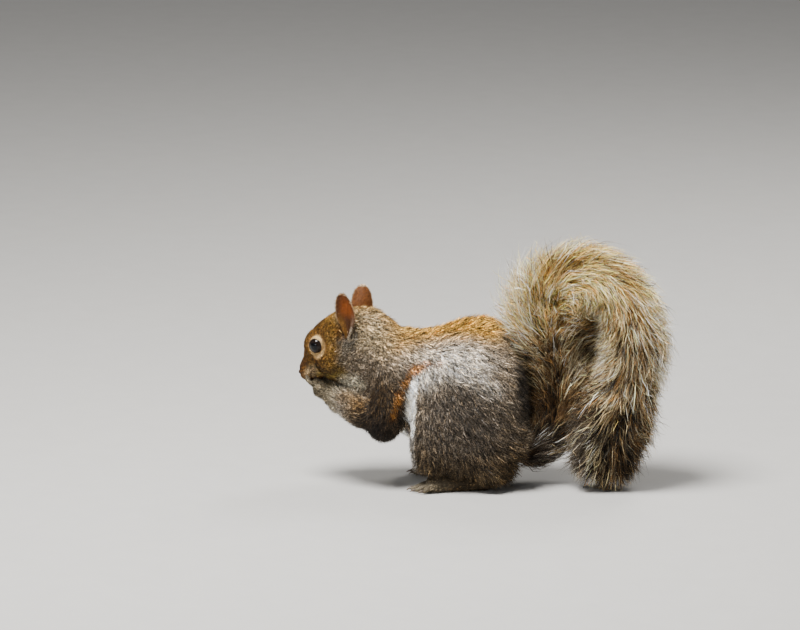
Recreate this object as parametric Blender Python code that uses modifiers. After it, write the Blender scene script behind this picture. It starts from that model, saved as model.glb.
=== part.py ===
"""Eastern grey squirrel, life size, crouched on its hind feet with its forepaws at its mouth.

The animal faces -Y and its left side is at +X. Lengths below are in millimetres, times MM,
and the floor is z = 0. The body is modelled whole, out to the tips of its coat, and then
parted with thin cuts into the pieces that a person would name.
"""

import math

import bmesh
import bpy
import numpy as np
from mathutils import Matrix, Vector

MM = 0.001
GAP = 0.3 * MM  # clearance between neighbouring pieces
LEFT, RIGHT = 1, -1

# Whole animal: moves the middle of its bounding box over the origin.
CENTRING = Vector((-1.32, 0.62, 0.0)) * MM

# Head. It points down and turns to the animal's right, about its nose tip.
NOSE_TIP = Vector((-12.6, -139.8, 82.0)) * MM
HEAD_PITCH = math.radians(45)
HEAD_YAW = math.radians(17)
# Distance behind the nose tip, then top, bottom and half width of the section there.
HEAD_SECTIONS = (
    (1.2, 3.0, -5.6, 4.6),
    (7.0, 5.2, -8.8, 7.2),
    (15.0, 8.6, -12.4, 9.8),
    (24.0, 14.4, -16.0, 14.2),
    (34.0, 17.2, -19.0, 18.4),
    (44.0, 16.4, -20.5, 20.4),
    (54.0, 14.0, -20.5, 19.6),
    (62.0, 9.0, -19.0, 17.0),
)
EYE_PLACE = (31.0, 4.6, 12.6)  # behind the nose tip, above the axis, to the side
EYE_RADIUS = 6.2 * MM
MUZZLE_PAD = (6.5, -6.0, 4.6)
MUZZLE_PAD_SIZE = (6.5, 4.4, 4.0)
CHIN = (9.0, -10.0, 0.0)
CHIN_SIZE = (7.0, 4.8, 5.0)
CHEEK = (33.0, -9.0, 11.5)
CHEEK_SIZE = (16.0, 13.0, 9.5)

# Ears: root and tip in the world, width of the cup, and how far its opening turns outward.
EAR_ROOT = {LEFT: Vector((13.5, -104.5, 117.0)) * MM, RIGHT: Vector((-15.0, -95.5, 117.5)) * MM}
EAR_TIP = {LEFT: Vector((16.5, -106.0, 149.0)) * MM, RIGHT: Vector((-19.5, -93.5, 149.0)) * MM}
EAR_WIDTH = 18.5 * MM
EAR_WALL = 1.3 * MM
EAR_CUP_DEPTH = 4.6 * MM
EAR_TURN = {LEFT: math.radians(80), RIGHT: math.radians(-70)}
EAR_BURIED = 0.22  # share of the ear's height that goes on below its root, into the head
EAR_BASE_SHARE = 0.72  # width at the root, as a share of the full width

# Neck, throat and trunk: y, top, bottom, half width.
NECK_SECTIONS = (
    (-106.0, 129.0, 80.0, 18.5),
    (-95.0, 134.5, 72.0, 22.0),
    (-84.0, 136.0, 58.0, 26.0),
    (-72.0, 128.5, 48.0, 29.5),
)
THROAT_SECTIONS = (
    (-121.0, 95.0, 80.0, 8.0),
    (-110.0, 98.0, 76.0, 13.0),
    (-98.0, 104.0, 68.0, 18.0),
)
TRUNK_SECTIONS = (
    (-84.0, 132.0, 52.0, 25.0),
    (-64.0, 122.0, 38.0, 30.5),
    (-42.0, 120.0, 30.0, 32.5),
    (-16.0, 127.5, 22.0, 34.5),
    (2.0, 128.5, 12.0, 35.0),
    (13.5, 121.5, 7.0, 33.0),
    (21.5, 101.0, 6.0, 28.0),
    (26.5, 81.0, 10.0, 20.0),
)
RUMP_ROUNDNESS = 0.35

# Forelegs: x, y, z and radius from the shoulder to the elbow, then from the elbow to the wrist.
UPPER_ARM = ((19.0, -68.5, 88.0, 17.0), (22.0, -71.0, 70.0, 16.0), (22.5, -76.0, 50.5, 14.5))
ARM_BLOCK = ((34.0, -69.0, 90.0, 17.5), (34.0, -72.0, 70.0, 17.5), (34.0, -77.0, 46.0, 17.5))
ARM_BLOCK_HALF_WIDTH = 25.0
FOREARM = {
    LEFT: ((21.0, -81.0, 54.0, 12.4), (14.0, -97.0, 60.0, 13.0), (2.5, -115.0, 69.0, 8.2)),
    RIGHT: ((-22.0, -81.0, 54.0, 12.4), (-21.5, -97.0, 60.0, 13.0), (-16.5, -115.0, 69.0, 8.2)),
}
HAND = {
    LEFT: ((1.5, -116.0, 69.5, 7.2), (-1.2, -122.0, 71.8, 6.8), (-3.4, -127.5, 74.0, 5.8)),
    RIGHT: ((-16.6, -116.0, 69.5, 7.2), (-17.0, -122.0, 71.8, 6.8), (-17.2, -127.5, 74.0, 5.8)),
}
FINGER_RADIUS = 2.0
FINGER_SPACING = 2.4
FINGER_REACH = 8.5
FINGER_SET_BACK = 0.6  # how much further back each outer finger starts
TO_KNUCKLE = Vector((0.0, -0.62, 0.30))  # as shares of the reach
TO_FINGERTIP = Vector((-0.10, -0.22, 0.52))  # for the left hand, from the knuckle

# Hind legs, for the left side; x is mirrored for the right.
THIGH_CENTRE = (22.5, -11.5, 59.0)
THIGH_SIZE = (25.0, 44.5, 58.5)
THIGH_SQUARENESS = 2.6  # 2 is an ellipse seen from the side, more is fuller at the corners
LEG_BLOCK_CENTRE = (-10.0, 30.0)  # y and z of the outline along which a leg parts from the trunk
LEG_BLOCK_SIZE = (52.0, 90.0)
LEG_BLOCK_SQUARENESS = 2.2
LEG_BLOCK_REACH = (12.0, 70.0)
KNEE_TO_ANKLE = ((24.0, -38.0, 60.0, 18.0), (24.5, -40.0, 38.0, 17.5), (26.5, -40.5, 17.0, 15.0))
HIP_PAD = ((23.0, 3.0, 38.0, 22.0), (24.0, 0.0, 17.0, 20.0))
FOOT_LINE = ((25.0, 0.0, 6.0, 6.5), (27.5, -20.0, 6.4, 7.0), (30.0, -38.5, 6.0, 8.0))
# Hollow of the shin in which the foot lies, with clearance for the toes.
FOOT_ROOM = (
    (25.0, 0.0, 5.0, 8.5),
    (27.5, -20.0, 5.0, 9.5),
    (30.0, -40.0, 3.0, 13.5),
    (31.0, -60.0, 2.0, 15.0),
)
TOE_RADIUS = 2.9
TOE_REACH = (9.0, 14.5, 17.0, 15.5, 10.5)  # from the outer toe to the inner one
TOE_FAN = math.radians(34)
TOE_SPREAD = 11.0  # from the middle of the outer toe's root to that of the inner one

# Tail: x, y, z along its middle, then its reach outward and inward in the plane of the arch,
# and its half width.
TAIL_SECTIONS = (
    (0.0, 20.0, 25.0, 20.0, 19.0, 21.0),
    (-2.0, 39.0, 32.0, 21.0, 21.0, 24.0),
    (-5.0, 54.5, 58.0, 20.5, 21.5, 26.5),
    (-6.0, 53.0, 90.0, 24.5, 24.0, 29.0),
    (-5.0, 50.0, 119.0, 32.5, 26.5, 32.0),
    (-2.0, 54.0, 142.0, 34.5, 23.5, 33.0),
    (3.0, 67.0, 157.0, 30.0, 21.0, 33.0),
    (8.0, 84.0, 158.5, 26.5, 20.5, 33.0),
    (13.0, 98.5, 148.0, 27.5, 20.5, 32.0),
    (17.0, 107.0, 131.0, 29.5, 23.0, 32.0),
    (19.0, 110.0, 109.0, 31.0, 26.0, 31.0),
    (20.0, 106.5, 87.0, 29.5, 25.5, 30.0),
    (20.0, 100.0, 65.0, 27.0, 25.0, 29.0),
    (19.0, 93.5, 43.0, 25.5, 24.0, 27.0),
    (18.0, 89.0, 21.0, 23.5, 22.0, 25.0),
)
TAIL_CUTS = (2, 4, 6, 8, 11)  # sections where one length ends and the next begins
TAIL_RINGS = 3  # rings from one section to the next

# Cuts between pieces: a point and the side that is taken off.
SHIN_CUT = (Vector((0.0, -12.0, 33.0)) * MM, Vector((0.0, -0.27, -0.96)))
NAPE_CUT = (Vector((0.0, -93.0, 105.0)) * MM, Vector((-0.28, -0.95, 0.15)))
SHOULDER_CUT = (Vector((0.0, -77.0, 95.0)) * MM, Vector((0.0, -0.99, 0.13)))

# Fineness of the surfaces.
BODY_VOXEL = 1.3 * MM
BODY_EASING = 12
FINE_VOXEL = 0.6 * MM
BODY_TRIANGLES = 2600
FOREARM_TRIANGLES = 180
HAND_TRIANGLES = 300
FOOT_TRIANGLES = 280
MERGE = 0.05 * MM  # points nearer than this are made one
FLAT = math.radians(0.6)  # faces that meet at less than this are made one
CREASE = math.radians(50)  # edges that turn more than this are shaded sharp

GREY = (0.26, 0.24, 0.21)
TAN = (0.30, 0.24, 0.16)
SILVER = (0.42, 0.41, 0.38)
RUST = (0.45, 0.24, 0.10)
EYE_BLACK = (0.01, 0.009, 0.008)
LOOKS = (
    ("eye", (EYE_BLACK, 0.08)),
    ("ear", (RUST, 0.7)),
    ("head", (TAN, 0.8)),
    ("tail", (TAN, 0.85)),
    ("hand", (SILVER, 0.75)),
    ("foot", (SILVER, 0.75)),
    ("", (GREY, 0.85)),
)

UP = Vector((0.0, 0.0, 1.0))
SIDEWAYS = Vector((1.0, 0.0, 0.0))
NOSE_TO_NAPE = Vector(
    (
        math.cos(HEAD_PITCH) * math.sin(HEAD_YAW),
        math.cos(HEAD_PITCH) * math.cos(HEAD_YAW),
        math.sin(HEAD_PITCH),
    )
)
HEAD_LEFT = Vector((math.cos(HEAD_YAW), -math.sin(HEAD_YAW), 0.0))
HEAD_UP = HEAD_LEFT.cross(NOSE_TO_NAPE)


def clear_scene():
    for item in list(bpy.data.objects):
        bpy.data.objects.remove(item, do_unlink=True)


def collection(name):
    made = bpy.data.collections.new(name)
    bpy.context.scene.collection.children.link(made)
    return made


def object_from(bm, name):
    mesh = bpy.data.meshes.new(name)
    bmesh.ops.recalc_face_normals(bm, faces=bm.faces)
    if bm.calc_volume(signed=True) < 0:
        bmesh.ops.reverse_faces(bm, faces=bm.faces)
    bm.to_mesh(mesh)
    bm.free()
    made = bpy.data.objects.new(name, mesh)
    bpy.context.scene.collection.objects.link(made)
    return made


def head_point(behind, above, aside):
    """A place in the head, in millimetres behind the nose tip, above its axis and to its left."""
    return NOSE_TIP + (NOSE_TO_NAPE * behind + HEAD_UP * above + HEAD_LEFT * aside) * MM


def smooth_rows(rows, per_span):
    """Rows read from a smooth curve through the given rows."""
    rows = np.array(rows, dtype=float)
    padded = np.vstack([2 * rows[0] - rows[1], rows, 2 * rows[-1] - rows[-2]])
    out = []
    for before, start, end, after in zip(padded, padded[1:], padded[2:], padded[3:]):
        for t in np.arange(per_span) / per_span:
            bend = (end - before) * t
            bend += (2 * before - 5 * start + 4 * end - after) * t**2
            bend += (3 * start - before - 3 * end + after) * t**3
            out.append(start + bend / 2)
    out.append(rows[-1])
    return np.array(out)


def directions(rows):
    """The direction of the path at each row."""
    centres = [Vector(row[:3]) for row in rows]
    ahead = centres[1:] + centres[-1:]
    behind = centres[:1] + centres[:-1]
    return [(after - before).normalized() for after, before in zip(ahead, behind)]


def loft(name, rows, side, sides=28, domes=(4, 4), tangents=None, roundness=1.0):
    """A closed body on rows of centre x, y, z, half width along side, half heights up and down.

    domes is how many rings round off its start and its end, and an end with none is flat;
    roundness is how far the round ends reach, as a share of their own radius.
    """
    tangents = tangents or directions(rows)
    centres = [Vector(row[:3]) for row in rows]
    side = Vector(side).normalized()
    bm = bmesh.new()
    rings = []

    def ring(centre, tangent, half_width, above, below):
        across = (side - tangent * side.dot(tangent)).normalized()
        upward = across.cross(tangent)
        points = []
        for step in range(sides):
            angle = math.tau * step / sides
            height = above if math.sin(angle) > 0 else below
            offset = across * half_width * math.cos(angle) + upward * height * math.sin(angle)
            points.append(bm.verts.new(centre + offset))
        rings.append(points)

    def dome(index, direction, count):
        """Rings that close the tube with a round end, from its rim to its pole."""
        half_width, above, below = rows[index][3:6]
        reach = min(half_width, above, below) * roundness if count else 0.0
        made = []
        for step in range(1, count + 1):
            turn = math.pi / 2 * step / (count + 1)
            made.append((centres[index] + direction * reach * math.sin(turn), math.cos(turn)))
        return made, centres[index] + direction * reach, (half_width, above, below)

    start_rings, start_pole, start_size = dome(0, -tangents[0], domes[0])
    end_rings, end_pole, end_size = dome(-1, tangents[-1], domes[1])
    for centre, share in reversed(start_rings):
        ring(centre, tangents[0], *(size * share for size in start_size))
    for centre, tangent, row in zip(centres, tangents, rows):
        ring(centre, tangent, *row[3:6])
    for centre, share in end_rings:
        ring(centre, tangents[-1], *(size * share for size in end_size))
    for lower, upper in zip(rings, rings[1:]):
        for step in range(sides):
            after = (step + 1) % sides
            bm.faces.new((lower[step], lower[after], upper[after], upper[step]))
    for points, pole in ((rings[0], start_pole), (rings[-1], end_pole)):
        tip = bm.verts.new(pole)
        for step in range(sides):
            bm.faces.new((points[step], points[(step + 1) % sides], tip))
    return object_from(bm, name)


def limb(name, rows, mirrored=False, half_width=None, sides=18, domes=(4, 4)):
    """A limb through rows of x, y, z and radius in millimetres, round unless given a width."""
    sign = -1 if mirrored else 1
    full = []
    for x, y, z, radius in rows:
        across = half_width or radius
        full.append([size * MM for size in (sign * x, y, z, across, radius, radius)])
    return loft(name, smooth_rows(full, sides // 4), SIDEWAYS, sides=sides, domes=domes)


def upright_loft(name, sections, lean=0.0):
    """A body on upright sections of y, top, bottom and half width in millimetres."""
    rows = []
    for y, top, bottom, half_width in sections:
        half_height = (top - bottom) / 2
        row = (lean, y, (top + bottom) / 2, half_width, half_height, half_height)
        rows.append([value * MM for value in row])
    rows = smooth_rows(rows, 5)
    level = [Vector((0.0, 1.0, 0.0))] * len(rows)
    return loft(name, rows, SIDEWAYS, tangents=level, roundness=RUMP_ROUNDNESS)


def ellipsoid(name, centre, size, rotation=None, segments=32, squareness=2.0):
    """An ellipsoid with half axes size, fuller at the corners of its yz outline if asked."""
    bm = bmesh.new()
    bmesh.ops.create_uvsphere(bm, u_segments=segments, v_segments=segments * 5 // 8, radius=1.0)
    for vertex in bm.verts:
        across = math.hypot(vertex.co.y, vertex.co.z)
        if across > 0.0:
            y_share = abs(vertex.co.y / across) ** squareness
            z_share = abs(vertex.co.z / across) ** squareness
            vertex.co.yz = vertex.co.yz * (y_share + z_share) ** (-1 / squareness)
    scale = Matrix.Diagonal([*size, 1.0])
    turn = rotation.to_4x4() if rotation else Matrix.Identity(4)
    bm.transform(Matrix.Translation(centre) @ turn @ scale)
    return object_from(bm, name)


def head_ellipsoid(name, place, size, side=LEFT, segments=32):
    """An ellipsoid in the head's own directions, with sizes along, above and aside."""
    turn = Matrix((NOSE_TO_NAPE, HEAD_UP, HEAD_LEFT)).transposed()
    centre = head_point(place[0], place[1], place[2] * side)
    return ellipsoid(name, centre, [length * MM for length in size], turn, segments)


def joined(name, pieces):
    bm = bmesh.new()
    for piece in pieces:
        bm.from_mesh(piece.data)
        bpy.data.objects.remove(piece, do_unlink=True)
    return object_from(bm, name)


def bake_modifiers(piece):
    """Replaces a piece's mesh by what its modifiers make of it."""
    graph = bpy.context.evaluated_depsgraph_get()
    mesh = bpy.data.meshes.new_from_object(piece.evaluated_get(graph), depsgraph=graph)
    piece.modifiers.clear()
    piece.data = mesh
    return piece


def fused(piece, voxel, smoothing):
    """One even surface round overlapping bodies, with the creases between them eased."""
    remesh = piece.modifiers.new("fuse", "REMESH")
    remesh.mode = "VOXEL"
    remesh.voxel_size = voxel
    ease = piece.modifiers.new("ease", "SMOOTH")
    ease.iterations = smoothing
    ease.factor = 0.5
    return bake_modifiers(piece)


def reduced(piece, triangles):
    total = sum(len(face.vertices) - 2 for face in piece.data.polygons)
    reduce = piece.modifiers.new("reduce", "DECIMATE")
    reduce.ratio = triangles / total
    return bake_modifiers(piece)


def boolean(piece, cutter, operation):
    cut = piece.modifiers.new("cut", "BOOLEAN")
    cut.operation = operation
    cut.solver = "EXACT"
    cut.object = cutter
    bake_modifiers(piece)
    return piece


def copy_of(piece, name):
    made = bpy.data.objects.new(name, piece.data.copy())
    bpy.context.scene.collection.objects.link(made)
    return made


def carve(body, name, region):
    """Parts body along the surface of region: returns what lies inside, and trims body."""
    inside = boolean(copy_of(body, name), region, "INTERSECT")
    make_room(body, region)
    bpy.data.objects.remove(region, do_unlink=True)
    return inside


def grown_copy(piece, distance):
    """The same shape, larger by distance all over."""
    made = copy_of(piece, "grown_" + piece.name)
    bm = bmesh.new()
    bm.from_mesh(made.data)
    bm.normal_update()
    for vertex in bm.verts:
        vertex.co += vertex.normal * distance * vertex.calc_shell_factor()
    bm.to_mesh(made.data)
    bm.free()
    return made


def make_room(body, piece):
    """Trims body so that it keeps the usual gap to piece."""
    cutter = grown_copy(piece, GAP)
    boolean(body, cutter, "DIFFERENCE")
    bpy.data.objects.remove(cutter, do_unlink=True)


def half_space(point, normal):
    """A large block whose one face goes through point, on the side that normal points to."""
    bm = bmesh.new()
    bmesh.ops.create_cube(bm, size=1.0)
    turn = UP.rotation_difference(normal).to_matrix().to_4x4()
    lift = Matrix.Translation((0.0, 0.0, 0.5))
    bm.transform(Matrix.Translation(point) @ turn @ lift)
    return object_from(bm, "half_space")


def head_mass():
    rows = []
    for behind, top, bottom, half_width in HEAD_SECTIONS:
        centre = head_point(behind, (top + bottom) / 2, 0.0)
        half_height = (top - bottom) / 2 * MM
        rows.append((*centre, half_width * MM, half_height, half_height))
    pieces = [loft("skull", smooth_rows(rows, 5), HEAD_LEFT)]
    pieces.append(head_ellipsoid("chin", CHIN, CHIN_SIZE))
    for side in (LEFT, RIGHT):
        pieces.append(head_ellipsoid("muzzle_pad", MUZZLE_PAD, MUZZLE_PAD_SIZE, side))
        pieces.append(head_ellipsoid("cheek", CHEEK, CHEEK_SIZE, side))
    return pieces


def leg_masses(side):
    mirrored = side == RIGHT
    centre = Vector((THIGH_CENTRE[0] * side, *THIGH_CENTRE[1:])) * MM
    size = [length * MM for length in THIGH_SIZE]
    return [
        ellipsoid("thigh", centre, size, squareness=THIGH_SQUARENESS),
        limb("knee", KNEE_TO_ANKLE, mirrored),
        limb("hip", HIP_PAD, mirrored),
    ]


def leg_block(side):
    """An upright outline, drawn out sideways from beside the spine, that takes in a whole leg."""
    steps = 26
    bm = bmesh.new()
    rims = []
    for reach in LEG_BLOCK_REACH:
        rim = []
        for step in range(steps):
            angle = math.tau * step / steps
            place = [side * reach]
            for middle, size, swing in zip(
                LEG_BLOCK_CENTRE, LEG_BLOCK_SIZE, (math.cos(angle), math.sin(angle))
            ):
                share = abs(swing) ** (2 / LEG_BLOCK_SQUARENESS)
                place.append(middle + math.copysign(size * share, swing))
            rim.append(bm.verts.new(Vector(place) * MM))
        rims.append(rim)
    for step in range(steps):
        after = (step + 1) % steps
        bm.faces.new((rims[0][step], rims[0][after], rims[1][after], rims[1][step]))
    for rim in rims:
        bm.faces.new(rim)
    return object_from(bm, "leg_block")


def body_whole():
    """Head, neck, trunk and the fleshy parts of the legs, in one surface."""
    pieces = head_mass()
    pieces.append(upright_loft("neck", NECK_SECTIONS))
    pieces.append(upright_loft("throat", THROAT_SECTIONS, lean=-4.0))
    pieces.append(upright_loft("trunk", TRUNK_SECTIONS))
    for side in (LEFT, RIGHT):
        pieces += leg_masses(side)
        pieces.append(limb("upper_arm", UPPER_ARM, side == RIGHT))
    return reduced(fused(joined("whole", pieces), BODY_VOXEL, BODY_EASING), BODY_TRIANGLES)


def largest_island(piece):
    """Drops all but the largest body of a piece that a cut has divided."""
    bm = bmesh.new()
    bm.from_mesh(piece.data)
    unseen = set(bm.verts)
    islands = []
    while unseen:
        island = set()
        edge_of_island = [unseen.pop()]
        while edge_of_island:
            vertex = edge_of_island.pop()
            island.add(vertex)
            near = {edge.other_vert(vertex) for edge in vertex.link_edges} & unseen
            unseen -= near
            edge_of_island += near
        islands.append(island)
    islands.sort(key=len)
    for island in islands[:-1]:
        bmesh.ops.delete(bm, geom=list(island), context="VERTS")
    bm.to_mesh(piece.data)
    bm.free()
    return piece


def ear(side):
    """A cupped leaf, open forward and outward, whose root sinks into the head."""
    root, tip = EAR_ROOT[side], EAR_TIP[side]
    upward = (tip - root).normalized()
    opening = Vector((-math.sin(HEAD_YAW), -math.cos(HEAD_YAW), 0.0))
    opening = Matrix.Rotation(EAR_TURN[side], 3, "Z") @ opening
    opening = (opening - upward * opening.dot(upward)).normalized()
    across = upward.cross(opening)
    height = (tip - root).length
    columns, rows = 6, 9
    bm = bmesh.new()
    grid = []
    for row in range(rows + 1):
        rise = (1 + EAR_BURIED) * row / rows - EAR_BURIED
        up_share = max(rise, 0.0)
        half_width = EAR_WIDTH / 2 * (EAR_BASE_SHARE + 1.1 * up_share)
        half_width *= math.sqrt(1.0 - up_share**3 * 0.985)
        half_width /= 1.0 + 0.55 * up_share
        line = []
        for column in range(columns + 1):
            share = 2 * column / columns - 1
            depth = EAR_CUP_DEPTH * (1 - share**2) * (1 - 0.55 * up_share)
            lean_out = opening * (0.004 * up_share**2)
            point = root + upward * height * rise + across * half_width * share
            line.append(bm.verts.new(point - opening * depth + lean_out))
        grid.append(line)
    for low, high in zip(grid, grid[1:]):
        for column in range(columns):
            bm.faces.new((low[column], low[column + 1], high[column + 1], high[column]))
    made = object_from(bm, "ear")
    wall = made.modifiers.new("wall", "SOLIDIFY")
    wall.thickness = EAR_WALL
    wall.offset = 0.0
    return bake_modifiers(made)


def hand(side):
    """Palm and four fingers that curl up and in toward the mouth."""
    pieces = [limb("palm", HAND[side])]
    end = Vector(HAND[side][-1][:3])
    to_tip = Vector((TO_FINGERTIP.x * side, *TO_FINGERTIP.yz))
    for index in range(4):
        shift = index - 1.5
        base = end + Vector((shift * FINGER_SPACING, abs(shift) * FINGER_SET_BACK, 0.0))
        knuckle = base + TO_KNUCKLE * FINGER_REACH
        tip = knuckle + to_tip * FINGER_REACH
        points = ((base, 1.25), (knuckle, 1.1), (tip, 0.8))
        rows = [(*point, FINGER_RADIUS * share) for point, share in points]
        pieces.append(limb("finger", rows))
    return reduced(fused(joined("hand", pieces), FINE_VOXEL, 2), HAND_TRIANGLES)


def foot(side):
    """A long flat sole with five toes spread along the floor."""
    mirrored = side == RIGHT
    pieces = [limb("sole", FOOT_LINE, mirrored)]
    ball = Vector(FOOT_LINE[-1][:3])
    for index, reach in enumerate(TOE_REACH):
        share = 0.5 - index / (len(TOE_REACH) - 1)
        turn = share * TOE_FAN
        ahead = Vector((math.sin(turn), -math.cos(turn), 0.0))
        base = ball + Vector((share * TOE_SPREAD, 0.0, 0.5))
        knuckle = base + ahead * reach * 0.45 + Vector((0.0, 0.0, 0.6))
        tip = base + ahead * reach
        tip.z = TOE_RADIUS * 0.85
        points = ((base, 1.1), (knuckle, 1.05), (tip, 0.95))
        rows = [(*point, TOE_RADIUS * size) for point, size in points]
        pieces.append(limb("toe", rows, mirrored))
    return reduced(fused(joined("foot", pieces), FINE_VOXEL, 2), FOOT_TRIANGLES)


def tail_lengths():
    """The tail in lengths, from its root to its tip, with the usual gap between them."""
    rows = []
    for x, y, z, outer, inner, half_width in TAIL_SECTIONS:
        rows.append([value * MM for value in (x, y, z, half_width, outer, inner)])
    rows = smooth_rows(rows, TAIL_RINGS)
    headings = directions(rows)
    stops = [0, *(span * TAIL_RINGS for span in TAIL_CUTS), len(rows) - 1]
    lengths = []
    for number, (start, stop) in enumerate(zip(stops, stops[1:]), start=1):
        part = rows[start : stop + 1].copy()
        tangents = headings[start : stop + 1]
        first, last = number == 1, number == len(TAIL_CUTS) + 1
        if not first:
            part[0, :3] += tangents[0] * GAP / 2
        if not last:
            part[-1, :3] -= tangents[-1] * GAP / 2
        domes = (4 if first else 0, 4 if last else 0)
        name = f"tail_{number}"
        lengths.append(loft(name, part, SIDEWAYS, sides=18, domes=domes, tangents=tangents))
    return lengths


def finish(piece, colour, roughness):
    """Cleans a finished piece, gives it its material and shades it smooth."""
    bm = bmesh.new()
    bm.from_mesh(piece.data)
    bmesh.ops.remove_doubles(bm, verts=bm.verts, dist=MERGE)
    bmesh.ops.dissolve_degenerate(bm, edges=bm.edges, dist=MERGE)
    bmesh.ops.dissolve_limit(bm, angle_limit=FLAT, verts=bm.verts, edges=bm.edges)
    bmesh.ops.triangulate(bm, faces=bm.faces)
    bmesh.ops.translate(bm, verts=bm.verts, vec=CENTRING)
    bm.to_mesh(piece.data)
    bm.free()
    piece.data.name = piece.name
    piece.data.shade_smooth()
    piece.data.set_sharp_from_angle(angle=CREASE)
    material = bpy.data.materials.new(piece.name)
    material.use_nodes = True
    shader = material.node_tree.nodes["Principled BSDF"]
    shader.inputs["Base Color"].default_value = (*colour, 1.0)
    shader.inputs["Roughness"].default_value = roughness
    shader.inputs["Metallic"].default_value = 0.0
    piece.data.materials.clear()
    piece.data.materials.append(material)


def build():
    clear_scene()
    whole = body_whole()
    below_floor = half_space(Vector((0.0, 0.0, 0.0)), -UP)
    boolean(whole, below_floor, "DIFFERENCE")
    pieces = {}

    def keep(name, piece):
        piece.name = name
        pieces[name] = piece

    for number, length in enumerate(tail_lengths(), start=1):
        boolean(length, below_floor, "DIFFERENCE")
        if number == 1:
            make_room(whole, length)
        keep(f"tail_{number}", length)

    for side, word in ((LEFT, "left"), (RIGHT, "right")):
        sole = foot(side)
        boolean(sole, below_floor, "DIFFERENCE")
        room = limb("room", FOOT_ROOM, side == RIGHT, sides=10, domes=(2, 2))
        boolean(whole, room, "DIFFERENCE")
        bpy.data.objects.remove(room, do_unlink=True)
        keep(f"foot_{word}", sole)
        eye = head_ellipsoid("eye", EYE_PLACE, (EYE_RADIUS / MM,) * 3, side, segments=14)
        make_room(whole, eye)
        keep(f"eye_{word}", eye)
        pinna = ear(side)
        make_room(pinna, whole)
        keep(f"ear_{word}", largest_island(pinna))
        forearm = limb("forearm", FOREARM[side])
        reduced(fused(forearm, BODY_VOXEL, 2), FOREARM_TRIANGLES)
        make_room(forearm, whole)
        keep(f"forearm_{word}", largest_island(forearm))
        paw = hand(side)
        make_room(paw, whole)
        make_room(paw, forearm)
        keep(f"hand_{word}", largest_island(paw))

    for side, word in ((LEFT, "left"), (RIGHT, "right")):
        thigh = carve(whole, "thigh", leg_block(side))
        shin = carve(thigh, "shin", half_space(*SHIN_CUT))
        keep(f"thigh_{word}", largest_island(thigh))
        keep(f"shin_{word}", largest_island(shin))
        block = limb("block", ARM_BLOCK, side == RIGHT, ARM_BLOCK_HALF_WIDTH, 14, (2, 2))
        keep(f"upper_arm_{word}", largest_island(carve(whole, "upper_arm", block)))
    keep("head", largest_island(carve(whole, "head", half_space(*NAPE_CUT))))
    keep("neck", largest_island(carve(whole, "neck", half_space(*SHOULDER_CUT))))
    keep("trunk", largest_island(whole))
    bpy.data.objects.remove(below_floor, do_unlink=True)

    squirrel = collection("grey_squirrel")
    for name, piece in pieces.items():
        colour, roughness = next(look for start, look in LOOKS if name.startswith(start))
        finish(piece, colour, roughness)
        for owner in list(piece.users_collection):
            owner.objects.unlink(piece)
        squirrel.objects.link(piece)


build()
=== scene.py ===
"""Looks of an eastern grey squirrel: skin, coat, eyes, ears, claws and whiskers.

Places are in millimetres in the modelling frame of the solids, before the step that centres
the animal over the origin, and body_mm and world convert between that and metres in the row
frame. The animal faces -Y, its left side is at +X and the floor is z = 0.
"""

import collections
import functools
import math

import bpy
import numpy as np
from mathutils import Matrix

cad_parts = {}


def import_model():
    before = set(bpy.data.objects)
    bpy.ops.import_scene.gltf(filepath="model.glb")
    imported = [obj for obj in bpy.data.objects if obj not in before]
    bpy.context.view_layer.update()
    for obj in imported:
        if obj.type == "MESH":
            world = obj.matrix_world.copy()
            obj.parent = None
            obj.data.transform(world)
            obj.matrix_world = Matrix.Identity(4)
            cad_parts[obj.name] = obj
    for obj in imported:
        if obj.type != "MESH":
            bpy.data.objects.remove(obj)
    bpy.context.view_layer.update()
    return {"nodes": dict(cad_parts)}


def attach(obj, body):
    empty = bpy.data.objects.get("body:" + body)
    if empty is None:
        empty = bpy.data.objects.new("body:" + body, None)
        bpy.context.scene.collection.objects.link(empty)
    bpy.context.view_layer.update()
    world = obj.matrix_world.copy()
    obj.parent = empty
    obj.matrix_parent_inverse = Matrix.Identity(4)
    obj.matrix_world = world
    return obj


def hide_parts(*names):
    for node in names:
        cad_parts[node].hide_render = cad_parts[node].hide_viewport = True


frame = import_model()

import openvdb
from mathutils import Vector
from mathutils.bvhtree import BVHTree

MM = 0.001
CENTRING = np.array((-1.32, 0.62, 0.0))
SIDES = {"left": 1.0, "right": -1.0}
FAR = 20.0  # a distance, in millimetres, beyond which nothing is blended in
rng = np.random.default_rng(7)

# ---------------------------------------------------------------- places in the animal

NOSE_TIP = np.array((-12.6, -139.8, 82.0))
HEAD_PITCH = math.radians(45)
HEAD_YAW = math.radians(17)
HEAD_BACK = np.array(
    (
        math.cos(HEAD_PITCH) * math.sin(HEAD_YAW),
        math.cos(HEAD_PITCH) * math.cos(HEAD_YAW),
        math.sin(HEAD_PITCH),
    )
)
HEAD_LEFT = np.array((math.cos(HEAD_YAW), -math.sin(HEAD_YAW), 0.0))
HEAD_UP = np.cross(HEAD_LEFT, HEAD_BACK)
HEAD_AXES = np.array((HEAD_BACK, HEAD_UP, HEAD_LEFT))
EYE_PLACE = np.array((31.0, 4.6, 12.6))  # behind the nose tip, above the axis, to the side
EYE_RADIUS = 6.2

EAR_ROOT = {"left": (16.5, -102.8, 115.5), "right": (-17.0, -93.6, 117.5)}
EAR_TIP = {"left": (18.5, -105.2, 149.8), "right": (-20.5, -91.4, 147.5)}
EAR_WIDTH = 17.2
EAR_CUP_DEPTH = 4.6
EAR_TURN = {"left": math.radians(76), "right": math.radians(-66)}

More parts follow.
